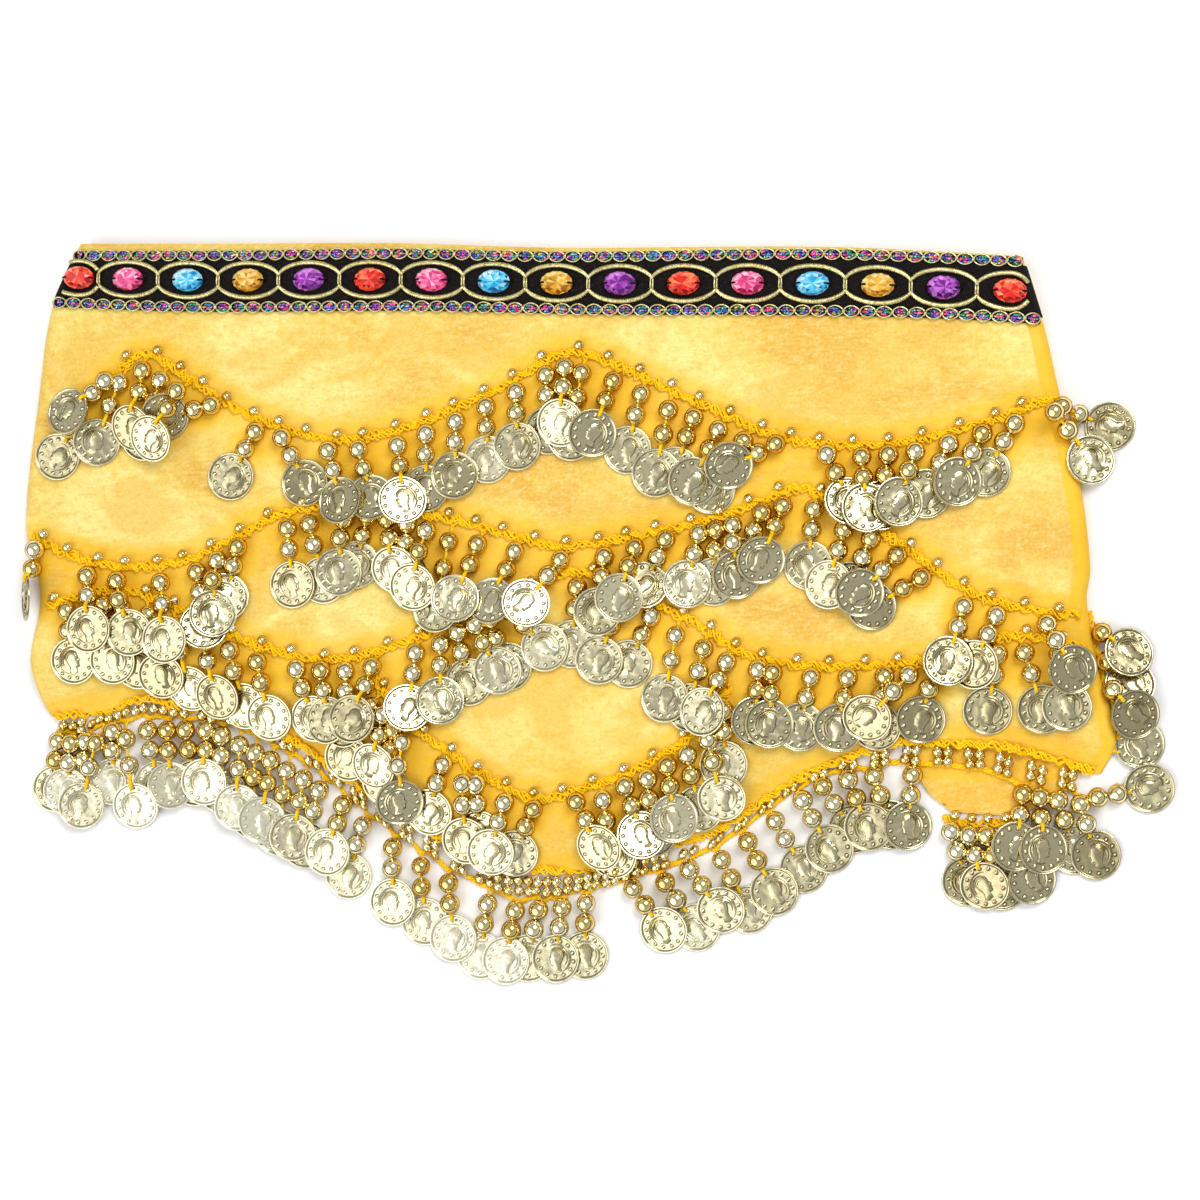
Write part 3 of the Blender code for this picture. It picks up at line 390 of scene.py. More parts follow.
class Look:
    """A material or a world, with short ways to add nodes."""

    def __init__(self, name, kind="materials"):
        self.owner = getattr(bpy.data, kind).new(name)
        self.owner.use_nodes = True
        self.tree = self.owner.node_tree

    def put(self, sockets, values):
        for socket, value in zip(sockets, values):
            if isinstance(value, bpy.types.NodeSocket):
                self.tree.links.new(value, socket)
            else:
                socket.default_value = value

    def set(self, made, sockets):
        self.put([made.inputs[key.replace("_", " ")] for key in sockets], sockets.values())

    def add(self, kind, settings=None, **sockets):
        made = self.tree.nodes.new("ShaderNode" + kind)
        for key, value in (settings or {}).items():
            setattr(made, key, value)
        self.set(made, sockets)
        return made

    def attribute(self, name, output="Fac"):
        return self.add("Attribute", {"attribute_name": name}).outputs[output]

    def position(self, scale=(1.0, 1.0, 1.0)):
        """The point in the frame of the solids, in metres times scale."""
        place = self.add("TexCoord").outputs["Object"]
        return self.add("Mapping", Vector=place, Scale=scale).outputs[0]

    def noise(self, vector, scale, detail=3.0, rough=0.55):
        return self.add("TexNoise", Vector=vector, Scale=scale, Detail=detail,
                        Roughness=rough).outputs["Fac"]

    def ramp(self, factor, *stops, mode="LINEAR"):
        """Values between stops of (position, value), a value being a grey or a colour."""
        made = self.add("ValToRGB", Fac=factor)
        made.color_ramp.interpolation = mode
        elements = made.color_ramp.elements
        while len(elements) < len(stops):
            elements.new(0.5)
        for element, (position, value) in zip(elements, stops):
            element.position = position
            element.color = value if isinstance(value, tuple) else (value, value, value, 1.0)
        return made.outputs["Color"]

    def mix(self, factor, first, second, blend="MIX"):
        made = self.add("Mix", {"data_type": "RGBA", "blend_type": blend})
        self.put([made.inputs[k] for k in (0, 6, 7)], (factor, first, second))
        return made.outputs[2]

    def math(self, operation, *values, kind="Math", output=0):
        made = self.add(kind, {"operation": operation})
        self.put(made.inputs, values)
        return made.outputs[output]

    def paint(self, shader="Principled BSDF", bump=None, **sockets):
        """The material or world, once its shader is set; bump is height, strength, distance."""
        if bump:
            sockets["Normal"] = self.add("Bump", Height=bump[0], Strength=bump[1],
                                         Distance=bump[2]).outputs[0]
        self.set(self.tree.nodes[shader], sockets)
        return self.owner


def velvet_material():
    """Panne velvet: pile pressed in drifting patches of painted sheen, lighter and darker, over a fine
    knit of crosswise lines, with painted shade where the tone attribute is high.
    """
    look = Look("velvet")
    sway = look.add("TexNoise", Vector=look.position(), Scale=9.0, Detail=2.0).outputs["Color"]
    warped = look.math("MULTIPLY_ADD", sway, (0.09, 0.09, 0.0), look.position((1.0, 1.5, 1.0)),
                       kind="VectorMath")
    drift = look.noise(warped, 16.0, 4.0, 0.58)
    strokes = look.noise(warped, 31.0, 2.0, 0.4)
    lines = look.noise(look.position((1.0, 8.0, 1.0)), 170.0, 2.0, 0.6)
    grain = look.noise(look.position(), 900.0, 2.0, 0.6)
    nap = look.noise(look.position((1.0, 1.7, 1.0)), 230.0, 4.0, 0.7)
    # painted sheen: the pressed pile lighter and darker in drifting patches
    base = look.ramp(drift, (0.42, colour(216, 160, 34)), (0.47, colour(227, 190, 76)),
                     (0.53, colour(232, 211, 106)), (0.59, colour(248, 238, 152)))
    # painted sheen where the pile is raised, painted shade where it is combed and in brushed strokes,
    # and the knit's own lines; columns: pattern, stops, shade
    for pattern, *stops, shade in ((nap, (0.5, 0.0), (0.68, 0.6), (248, 230, 148)),
                                   (nap, (0.35, 0.55), (0.52, 0.0), (226, 172, 56)),
                                   (strokes, (0.57, 0.0), (0.65, 0.6), (232, 172, 40)),
                                   (lines, (0.35, 0.0), (0.75, 0.5), (240, 212, 122))):
        base = look.mix(look.ramp(pattern, *stops), base, colour(*shade))
    fine = look.mix(0.3, base, look.ramp(grain, (0.3, colour(216, 160, 50)),
                                         (0.7, colour(243, 220, 138))))
    # painted shade: the tone attribute deepens the colour to orange by the beads and laces and beside
    # the right fold, and towards the hem
    painted_shade = look.math("MULTIPLY", look.attribute("tone"), 0.8)
    height = look.math("ADD", look.math("MULTIPLY", lines, 0.6), look.math("MULTIPLY", grain, 0.4))
    return look.paint(bump=(height, 0.4, 0.0004), Roughness=0.6, Specular_IOR_Level=0.2,
                      Sheen_Weight=0.12, Sheen_Roughness=0.4, Sheen_Tint=colour(255, 226, 140),
                      Base_Color=look.mix(painted_shade, fine, colour(246, 192, 26)))


def bead_material():
    """Plated beads, each a little warmer or paler than the next, browner towards their rims."""
    look = Look("bead_plating")
    wear_and_painted_light = look.noise(look.position(), 420.0, 3.0, 0.6)
    plate = look.ramp(look.attribute("tone"), (0.0, colour(238, 206, 122)),
                      (0.5, colour(250, 232, 168)), (1.0, colour(255, 246, 208)))
    worn = look.mix(look.ramp(wear_and_painted_light, (0.5, 0.0), (0.8, 0.35)), plate, colour(204, 174, 98))
    return look.paint(Metallic=1.0, Specular_Tint=colour(138, 92, 32), Base_Color=worn,
                      Roughness=look.math("MULTIPLY_ADD", wear_and_painted_light, 0.1, 0.05))


def coin_material():
    """Thin stamped coins, pale gold over white metal, with painted shade in the hollows of the stamping
    and painted highlights on its crests.
    """
    look = Look("coin_plating")
    tone = look.attribute("tone")
    place = look.add("SeparateXYZ", Vector=look.attribute("place", "Vector")).outputs
    own = look.add("CombineXYZ", X=place["X"], Y=place["Y"],
                   Z=look.math("MULTIPLY", tone, 90.0)).outputs[0]
    dents, grime = look.noise(own, 0.2, 1.0, 0.4), look.noise(own, 0.9, 4.0, 0.65)
    plate = look.ramp(tone, (0.0, colour(190, 176, 136)), (0.35, colour(222, 212, 172)),
                      (0.7, colour(238, 231, 196)), (1.0, colour(248, 244, 220)))
    worn = look.mix(look.ramp(grime, (0.35, 0.45), (0.6, 0.0)), plate, colour(158, 150, 104))
    # painted shade where the mark is low, in the hollows at the feet of the relief, less on pale coins;
    # painted highlight where it is near +1, on the crests
    mark = look.math("MULTIPLY_ADD", place["Z"], 0.5, 0.5)
    hollow = look.math("MULTIPLY", look.ramp(mark, (0.0, 0.72), (0.25, 0.62), (0.48, 0.0)),
                       look.ramp(tone, (0.5, 1.0), (1.0, 0.5)))
    hollow_shaded = look.mix(hollow, worn, colour(112, 102, 66))
    stamped = look.mix(look.ramp(mark, (0.8, 0.0), (1.0, 0.35)), hollow_shaded, colour(248, 245, 222))
    return look.paint(bump=(dents, 0.35, 0.0010), Base_Color=stamped,
                      Metallic=look.ramp(tone, (0.5, 1.0), (1.0, 0.6)),
                      Roughness=look.ramp(grime, (0.3, 0.30), (0.7, 0.16)))


def band_material():
    """Black woven ribbon with a faint crosswise rib."""
    look = Look("black_ribbon")
    weave = look.add("TexWave", {"bands_direction": "X"}, Vector=look.position(), Scale=330.0,
                     Distortion=2.0, Detail=2.0, Detail_Scale=3.0).outputs["Fac"]
    specks = look.noise(look.position((1.0, 1.6, 1.0)), 620.0, 3.0, 0.7)
    shade = look.ramp(specks, (0.35, colour(12, 9, 9)), (0.62, colour(28, 22, 22)),
                      (0.85, colour(84, 72, 62)))
    return look.paint(bump=(look.math("ADD", weave, specks), 0.5, 0.0004), Base_Color=shade,
                      Roughness=0.8, Specular_IOR_Level=0.12)


def yarn_material(name, scale, strength, stops, **sockets):
    """Thread or metallic yarn, its twist in light and dark strands."""
    look = Look(name)
    strands = look.noise(look.position(), scale, 2.0, 0.6)
    return look.paint(bump=(strands, strength, 0.0003), Base_Color=look.ramp(strands, *stops),
                      **sockets)


def foil_material():
    """Rainbow foil yarn: each stitch its own colour."""
    look = Look("rainbow_yarn")
    foils = ((214, 28, 150), (40, 52, 190), (28, 150, 110), (120, 30, 170), (222, 176, 60),
             (30, 140, 200), (235, 60, 120), (20, 96, 60), (70, 30, 130))
    stops = [(k / len(foils), colour(*foil)) for k, foil in enumerate(foils)]
    shade = look.ramp(look.attribute("tone"), *stops, mode="CONSTANT")
    # painted glints: pale specks laid over the foil's colours
    glint = look.noise(look.position(), 1500.0, 2.0, 0.6)
    bright = look.mix(look.ramp(glint, (0.52, 0.0), (0.66, 0.6)), shade, colour(250, 240, 230))
    return look.paint(bump=(glint, 0.4, 0.0003), Base_Color=bright, Metallic=0.6, Roughness=0.3)


def jewel_material(name, deep, middle, pale):
    """Foil-backed acrylic; facets differ in how much of the foil they throw back, painted from each
    facet's tone as highlight or shade, clouded at random.
    """
    look = Look("jewel_" + name)
    cloud = look.noise(look.position(), 260.0, 2.0, 0.5)
    mixed = look.math("ADD", look.math("MULTIPLY", look.attribute("tone"), 0.8),
                      look.math("MULTIPLY", cloud, 0.4))
    shade = look.ramp(mixed, (0.15, colour(*deep)), (0.46, colour(*middle)), (0.92, colour(*pale)))
    return look.paint(Base_Color=shade, Metallic=0.15, Roughness=0.08, Coat_Weight=0.6,
                      Coat_Roughness=0.05)


# ---- what the solids say
def read_node(node):
    """A CAD node's points in millimetres, its triangles, and each point's neighbours."""
    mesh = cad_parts[node].data
    raw = np.empty(len(mesh.vertices) * 3)
    mesh.vertices.foreach_get("co", raw)
    points, index = np.unique(np.round(raw.reshape(-1, 3) / MM, 3), axis=0, return_inverse=True)
    index = index.ravel()
    triangles = [[int(index[v]) for v in face.vertices] for face in mesh.polygons]
    near = [set() for _ in points]
    for face in triangles:
        for k in range(3):
            near[face[k]].update((face[k - 1], face[k - 2]))
    return points, triangles, near


def level_along(points, triangles, places):
    """Heights of a node's lowest faces over places; a miss takes what its neighbours say."""
    tree = BVHTree.FromPolygons([Vector(p) for p in points], triangles)

    around = ((0, 0), (0.6, 0), (-0.6, 0), (0, 0.6), (0, -0.6), (1.4, 0), (-1.4, 0))

    def level(x, y):
        for dx, dy in around:
            hit = tree.ray_cast(Vector((x + dx, y + dy, -5.0)), Vector(UP))
            if hit[0] is not None:
                return hit[0].z
        return None

    found = [level(x, y) for x, y in places]
    good = [k for k, z in enumerate(found) if z is not None]
    return np.interp(np.arange(len(found)), good, [found[k] for k in good])


def read_drops(points, near):
    """Every drop of a node: its root, its beads' centres, and its coin's centre and axes.

    A bead is a square at its widest, with a point above and below. Rings of four points lead
    from the last bead down the coin, and from there back up through the beads to the root.
    """
    # how far off a bead's top, its sides and a coin's thickness may be
    top_off, side_off, coin_off = 0.03, 0.05, 0.02

    def off(v, w, length):
        """How far the distance between two points is from a length."""
        return abs(np.linalg.norm(points[w] - points[v]) - length)

    def beyond(ring, seen):
        return set().union(*(near[v] for v in ring)) - seen

    def middle(ring):
        return np.mean([points[v] for v in ring], axis=0)

    drops = []
    for low, foot in enumerate(points):
        centre = foot + UP * BEAD_R
        tops = [n for n in beyond(near[low], {low})
                if np.abs(points[n] - centre - UP * BEAD_R).max() < top_off]
        if not tops:
            continue
        bead = {low, tops[0]} | {n for n in near[low] & near[tops[0]]
                                 if abs(np.linalg.norm(points[n] - centre) - BEAD_R) < side_off}
        rim = {v for v in beyond(bead, bead) if any(off(v, w, COIN_T) < coin_off for w in near[v])}
        if len(rim) != 4:
            continue
        rings, seen = [rim], bead | rim
        for _ in range(3):
            rings.append(beyond(rings[-1], seen))
            seen |= rings[-1]
        chain, back = [centre], bead | rim
        ring = beyond(bead, back)
        while True:
            back |= ring
            following = beyond(ring, back)
            if len(following) != 4:
                break
            chain.append(middle(ring))
            ring = following
        lower = []
        for group in (rings[0], rings[3]):
            low_side = []
            for v in group:
                mate = min(near[v] & group, key=lambda w: off(v, w, COIN_T))
                if points[mate][2] > points[v][2]:
                    low_side.append(v)
                    lift = unit(points[mate] - points[v])
            lower.append(middle(low_side))
        down = unit(lower[1] - lower[0])
        drops.append({"root": middle(ring),
                      "beads": chain[:1] if len(chain) < 3 else [chain[2], chain[0]],
                      "coin": lower[0] + down * COIN_R, "down": down,
                      "wing": np.cross(lift, down), "up": lift})
    drops.sort(key=lambda d: (round(d["root"][0], 1), d["root"][1]))
    return drops


# ---- small shapes, each made once
def bead_shape(radius, sides, rings, hole):
    """A round bead, its hole along y."""
    start = math.asin(hole / radius)
    angles = np.linspace(start, math.pi - start, rings)[:, None]
    turn = spokes(sides)
    points = join(radius * np.sin(angles) * np.cos(turn), radius * np.cos(angles),
                  radius * np.sin(angles) * np.sin(turn)).reshape(-1, 3)
    count, inward = len(points), radius * 0.7
    shape = Pile()
    shape.add(np.concatenate([points, [(0.0, inward, 0.0), (0.0, -inward, 0.0)]]),
              [rows_of_quads(rings, sides), fan(count, np.arange(sides)),
               fan(count + 1, np.arange(count - sides, count))[:, ::-1]])
    return shape


def stamp(shape, rings, faces, marks):
    """Add rings of points to a coin, and for each how far it is stamped up (+1) or hollow (-1), which
    the coin's material paints as highlight or shade.
    """
    points = np.concatenate(rings)
    places = points.copy()
    places[:, 2] = np.repeat(marks, [len(ring) for ring in rings])
    shape.add(points, faces, place=places)


def ridge(shape, line, z, width, height, hollow=0.42):
    """A tapering raised line on a coin's face, with painted shade along its foot that fades out over
    the width hollow.
    """
    line = np.asarray(line, float)
    ahead = unit(np.gradient(line, axis=0))
    side = join(-ahead[:, 1], ahead[:, 0])
    share = np.sin(np.linspace(0.12, math.pi - 0.12, len(line)))[:, None]
    # columns: half width, share of the height, mark
    rows = [(width / 2, 0.05, -1.0), (0.0, 1.0, 1.0), (-width / 2, 0.05, -1.0)]
    if hollow:
        rows = [(width / 2 + hollow, 0.0, 0.0), *rows, (-width / 2 - hollow, 0.0, 0.0)]
    stamp(shape, [np.hstack([line + side * w * share, z + height * h * share]) for w, h, _ in rows],
          [rows_of_quads(len(rows), len(line), closed=False)], [mark for *_, mark in rows])


def arc(radius, start, end, count, x=0.0, y=0.0, squeeze=1.0):
    angle = np.radians(np.linspace(start, end, count))
    return join(x + radius * np.cos(angle), y + radius * squeeze * np.sin(angle))


# a plain head in profile, facing -x, in even thirds from hairline to chin; columns: x, y
PROFILE = (
    (0.5, 4.4), (-0.8, 4.1), (-1.9, 3.3), (-2.4, 2.2), (-2.5, 1.3), (-2.35, 0.9), (-2.9, 0.0),
    (-3.15, -0.5), (-2.6, -0.75), (-2.75, -1.15), (-2.5, -1.4), (-2.65, -1.7), (-2.4, -2.0),
    (-2.55, -2.6), (-2.1, -3.1), (-1.1, -3.2), (-0.7, -3.9), (-1.1, -5.3), (0.8, -6.0),
    (2.6, -5.4), (1.9, -3.8), (1.9, -2.2), (2.7, -0.6), (3.1, 1.2), (2.7, 3.0), (1.8, 4.0),
)


def coin_shape(way):
    """A stamped coin, face up, its hole towards +y; way is how strongly it is stamped."""
    shape = Pile()
    turns, hole_turns, hole_r, field = 44, 8, 0.68, 0.44
    # columns: radius, height, mark
    edge = ((9.85, 0.0, 0.0), (10.0, 0.12, 0.0), (10.0, 0.52, 0.2), (9.84, 0.78, 0.8),
            (9.5, 0.84, 1.0), (9.2, 0.72, 0.2), (8.98, field + 0.04, -1.0), (8.5, field, 0.0))
    rings = [circle(r, turns, z) for r, z, _ in edge]
    rings += [circle(hole_r, hole_turns, z, y=HOLE_AT) for z in (field, 0.0)]
    points = np.concatenate(rings)
    first_top = len(edge) * turns
    faces = [rows_of_quads(len(edge), turns), rows_of_quads(2, hole_turns) + first_top]
    for outer, hole, flip in ((first_top - turns, first_top, False),
                              (0, first_top + hole_turns, True)):
        index = [*range(outer, outer + turns), *range(hole, hole + hole_turns)]
        edges = [(k, (k + 1) % turns) for k in range(turns)]
        edges += [(turns + k, turns + (k + 1) % hole_turns) for k in range(hole_turns)]
        flat = delaunay_2d_cdt([Vector(points[i][:2]) for i in index], edges, [], 1, 1e-6)
        corners = np.array([[index[flat[3][v][0]] for v in face] for face in flat[2]])
        middle = points[corners].mean(axis=1)
        corners = corners[np.hypot(middle[:, 0], middle[:, 1] - HOLE_AT) > hole_r * 0.9]
        faces.append(corners[:, ::-1] if flip else corners)
    stamp(shape, rings, faces, [mark for *_, mark in edge] + [0.0, 0.0])

    # a ring of dots; columns of a dot: radius, height, mark
    dots, dots_at, dot_turns = 13, 7.35, 7
    dot = ((1.22, 0.012, 0.0), (0.82, 0.02, -1.0), (0.55, 0.30 * way, 0.4), (0.2, 0.44 * way, 1.0))
    for angle in spokes(dots, 0.5) + math.pi / 2:
        x, y = dots_at * math.cos(angle), dots_at * math.sin(angle)
        stamp(shape, [circle(r, dot_turns, field + z, x, y) for r, z, _ in dot],
              [rows_of_quads(4, dot_turns), 3 * dot_turns + np.arange(dot_turns)[None]],
              [mark for *_, mark in dot])

    outline = np.array(PROFILE) * 0.98 + (0.2, 0.2)
    centre, count = outline.mean(axis=0), len(outline)
    # columns: size, height, mark
    levels = ((1.14, 0.012, 0.0), (1.0, 0.02, -1.0), (0.88, 0.28 * way, 0.4),
              (0.6, 0.42 * way, 0.2), (0.02, 0.46 * way, 0.2))
    stamp(shape, [join(*(centre + (outline - centre) * s).T, field + z) for s, z, _ in levels],
          [rows_of_quads(5, count)[:, ::-1]], [mark for *_, mark in levels])
    # two rolls of hair round the head, three beside it, the neck's edge, the brow, eye and mouth
    ridge(shape, arc(5.9, -62, 118, 13, 0.0, -0.1), field, 1.0, 0.46 * way, hollow=0.36)
    ridge(shape, arc(4.5, -40, 104, 10, 0.3, 0.2), field, 0.8, 0.4 * way, hollow=0.32)
    for k, (radius, start, end) in enumerate(((3.0, -15, 120), (2.2, -45, 140), (1.4, -60, 150))):
        ridge(shape, arc(radius, start, end, 7, 0.8, 1.6, 0.95), field + 0.28 * way,
              0.55, (0.26 + 0.04 * k) * way, hollow=0)
    ridge(shape, [(-0.3, -4.3), (0.6, -4.65), (1.5, -4.4), (2.1, -3.8)], field + 0.22 * way,
          0.45, 0.2 * way, hollow=0)
    for line in ([(-1.9, 1.3), (-1.4, 1.5), (-0.9, 1.35)], [(-1.9, 0.8), (-1.5, 0.65), (-1.1, 0.8)],
                 [(-2.1, -1.3), (-1.75, -1.4), (-1.4, -1.3)]):
        ridge(shape, line, field + 0.3 * way, 0.34, 0.16 * way, hollow=0)
    # the relief is raised by a quarter, on a face that is a little domed
    relief, dome, dome_fall = 1.25, 0.10, 0.0016
    for points in shape.points:
        points[:, 2] = field + (points[:, 2] - field) * np.where(points[:, 2] > field, relief, 1.0)
        points[:, 2] += dome - dome_fall * (points[:, 0] ** 2 + points[:, 1] ** 2)
    return shape


# ---- cloth
def closeness(points, marks, reach):
    """How near each point lies to any of the marks, from 0 to 1."""
    near, marks = np.zeros(len(points)), np.asarray(marks)[None, :, :2]
    for start in range(0, len(points), 4000):
        away = ((points[start:start + 4000, None, :2] - marks) ** 2).sum(axis=2)
        near[start:start + 4000] = np.exp(-away / reach ** 2).sum(axis=1)
    return np.clip(near, 0.0, 1.0)


def thin_cloth(grid, thickness, tone=0.5):
    """A closed thin shell from a grid of its face's points."""
    rows, columns = grid.shape[:2]
    normal = unit(np.cross(np.gradient(grid, axis=0), np.gradient(grid, axis=1)))
    if normal[rows // 2, columns // 2, 2] < 0:
        normal = -normal
    upper, lower = grid.reshape(-1, 3), (grid - normal * thickness).reshape(-1, 3)
    quads = rows_of_quads(rows, columns, closed=False)
    count = len(upper)
    border = np.concatenate([np.arange(columns - 1), np.arange(1, rows) * columns - 1,
                             count - 1 - np.arange(columns - 1), np.arange(rows - 1, 0, -1) * columns])
    after = np.roll(border, -1)
    pile = Pile()
    pile.add(np.concatenate([upper, lower]),
             [quads, quads[:, ::-1] + count, join(border, after, after + count, border + count)],
             tone, np.concatenate([upper, upper]))
    return pile


def build_velvet(material, beads, laces):
    """The velvet, rolled under at both side folds, with a pressed line beside the right one."""
    press_in, press_width, press_depth = 7.2, 1.2, 0.7
    u = np.concatenate([[0.0, 0.0018, 0.005, 0.009, 0.014], np.linspace(0.019, 0.981, 222),
                        [0.9832, 0.9846, 0.986, 0.991, 0.995, 0.9982, 1.0]])
    v = np.concatenate([[0.0, 0.006, 0.014], np.linspace(0.022, 0.985, 102), [0.991, 0.996, 1.0]])
    uu, vv = np.meshgrid(u, v, indexing="ij")
    x, y = front_point(uu.ravel(), vv.ravel())
    away = inside(x, y)
    creased = np.clip(np.minimum.reduce(away) / CREASES_IN, 0.0, 1.0)
    z = front_height(x, y) + crease_height(x, y) * creased
    z = z - press_depth * np.clip((press_in - away[1]) / press_width, 0.0, 1.0)
    face = join(x, y, z).reshape(*uu.shape, 3)
    roll_r, under = 3.0, 0.75
    # columns: how far in from the fold, how far down to the height under it
    turns = [(roll_r * (1 - math.cos(a)), math.sin(a)) for a in np.radians((18, 38, 60, 82))]
    turns += [(5.0, 1.0), (9.0, 1.0)]
    left, right = (np.stack([join(edge[:, 0] + way * inset, edge[:, 1],
                                  edge[:, 2] - (edge[:, 2] - under) * fall)
                             for inset, fall in turns])
                   for edge, way in ((face[0], 1.0), (face[-1], -1.0)))
    grid = np.concatenate([left[::-1], face, right])
    flat = grid.reshape(-1, 3)
    fold = smooth(RIGHT_EDGE, flat[:, 1]) - flat[:, 0]
    # painted shade by the beads and laces and from the pressed line to the fold, and a deeper colour
    # towards the hem
    lace_shade, hem_tone, hem_reach, soft = 0.8, 0.3, 60.0, 0.7
    tone = np.maximum.reduce((closeness(flat, beads, BEAD_SHADE_R),
                              lace_shade * closeness(flat, laces, LACE_SHADE_R),
                              hem_tone * np.clip(-flat[:, 1] / hem_reach, 0.0, 1.0),
                              np.clip((press_in - 0.1 - fold) / soft, 0.0, 1.0)))
    return thin_cloth(grid, VELVET_T, np.tile(tone, 2)).make("velvet_front", material, "velvet",
                                                             "scarf_front")


def build_layers(material):
    """The hidden layers: one rounded body with a bulge for each fold of cloth."""
    hem_in, fold_in, waist_in = 17.0, 6.2, 2.4
    # its corners: how far in from the sides the hem's are, and where the waist's lie, x and y
    corner_in, left_top, right_top = 7.15, (-214.0, 150.0), (177.0, 137.0)
    u, rise = np.linspace(0.01, 0.99, 60), np.linspace(0.03, 0.97, 26)
    hem_x = front_point(u, np.zeros(60))[0] + corner_in * (1 - 2 * u)
    hem_y = smooth(HEM_EDGE, hem_x) + hem_in
    right_y = hem_y[-1] + (right_top[1] - hem_y[-1]) * rise
    left_y = left_top[1] + (hem_y[0] - left_top[1]) * rise
    waist_x = np.linspace(right_top[0], left_top[0], 50)
    outline = np.concatenate([join(hem_x, hem_y),
                              join(smooth(RIGHT_EDGE, right_y) - fold_in, right_y),
                              join(waist_x, smooth(WAIST_EDGE, waist_x) - waist_in),
                              join(smooth(LEFT_EDGE, left_y) + fold_in, left_y)])
    ahead = unit(np.roll(outline, -1, axis=0) - np.roll(outline, 1, axis=0))
    inward = join(-ahead[:, 1], ahead[:, 0])
    layer, bulge, rings = 1.8, 1.1, []
    for number, inset in enumerate((0.0, 0.7, 2.6)):
        for angle in np.radians((-80, -50, -20, 20, 50, 80)):
            line = outline + inward * (inset + bulge * (1 - math.cos(angle)))
            rings.append(join(*line.T, layer * (number + 0.5) + layer / 2 * math.sin(angle)))
    count, middle = len(outline), outline.mean(axis=0)
    ends = [(*middle, rings[0][0, 2]), (*middle, rings[-1][0, 2])]
    total = len(rings) * count
    pile = Pile()
    pile.add(np.concatenate([*rings, ends]),
             [rows_of_quads(len(rings), count), fan(total, np.arange(count))[:, ::-1],
              fan(total + 1, np.arange(total - count, total))])
    return pile.make("folded_cloth", material, "velvet", "folded_layers")


def build_corner(material):
    """The back layer's corner on the table, rounded at its tip and a little wavy."""
    # its tip's rounding, the bulge of its left and lower edges, its reach to the right under the net
    tip_x, tip_y, left_bulge, low_bulge, reach = 1.3, 1.6, 1.6, 0.8, 33.0
    height, wave = 1.55, 0.15
    left, right = np.array(BACK_CORNER[2::-1]), np.array(BACK_CORNER[3:])
    u, v = np.meshgrid(np.linspace(0.0, 1.0, 40), np.linspace(0.0, 1.0, 30), indexing="ij")
    x, y = [smooth(join((0.0, 0.5, 1.0), left[:, k]), v) * (1 - u)
            + (right[0, k] * (1 - v) + right[1, k] * v) * u for k in range(2)]
    tip = np.maximum(0.0, 1 - u * 5) ** 2 * np.maximum(0.0, 1 - v * 4) ** 2
    x += tip_x * tip - left_bulge * np.sin(v * math.pi) * (1 - u) + reach * u * np.sqrt(v)
    y += tip_y * tip - low_bulge * np.sin(u * math.pi) * (1 - v)
    z = height + wave * np.sin(u * 11) + wave * np.sin(v * 9 + u * 4)
    # painted shade over the whole corner, deeper where it lies behind the net
    tone = np.tile(0.25 + 0.5 * (y.ravel() > -70), 2)
    return thin_cloth(join(x, y, z), VELVET_T, tone).make("back_corner_cloth", material, "velvet",
                                                          "back_corner")


# ---- waist trim
def trim_surface(u, share, lift):
    """Points of the trim, u along the waist, share down from the waist edge."""
    xa, xb = WAIST_EDGE[0][0], WAIST_EDGE[-1][0]
    fa, fb = TRIM_FOOT[0][0], TRIM_FOOT[-1][0]
    head_x, foot_x = xa + (xb - xa) * u, fa + (fb - fa) * u
    # the upper braid creeps from below its place at the left to above it at the right
    below, creep = 0.035, 0.10
    share = share + (below - creep * u) * np.clip((0.5 - share) * 3, 0.0, 1.0)
    return over_front(head_x * (1 - share) + foot_x * share,
                      smooth(WAIST_EDGE, head_x) * (1 - share) + smooth(TRIM_FOOT, foot_x) * share,
                      lift)


def build_band(material):
    """Ribbon between the braids; its long edges and its ends turn down to the velvet."""
    u = np.linspace(0.0, 1.0, 260)
    end_out, end_down = 0.7, 2.6
    low, high = BLACK_BAND[0] - 0.07, BLACK_BAND[1] + 0.06
    # columns: share, lift
    rows = [(low, -0.15), (low + 0.004, 0.0), (low + 0.02, 0.3),
            *((share, 1.0) for share in np.linspace(low + 0.05, high - 0.05, 9)),
            (high - 0.02, 0.3), (high - 0.004, 0.0), (high, -0.15)]
    grid = np.stack([trim_surface(u, share, lift) for share, lift in rows], axis=1)
    grid = np.stack([grid[0] + (-end_out, 0.0, -end_down), *grid,
                     grid[-1] + (end_out, 0.0, -end_down)])
    return thin_cloth(grid, 0.7).make("woven_band", material, "black_band", "waist_band")


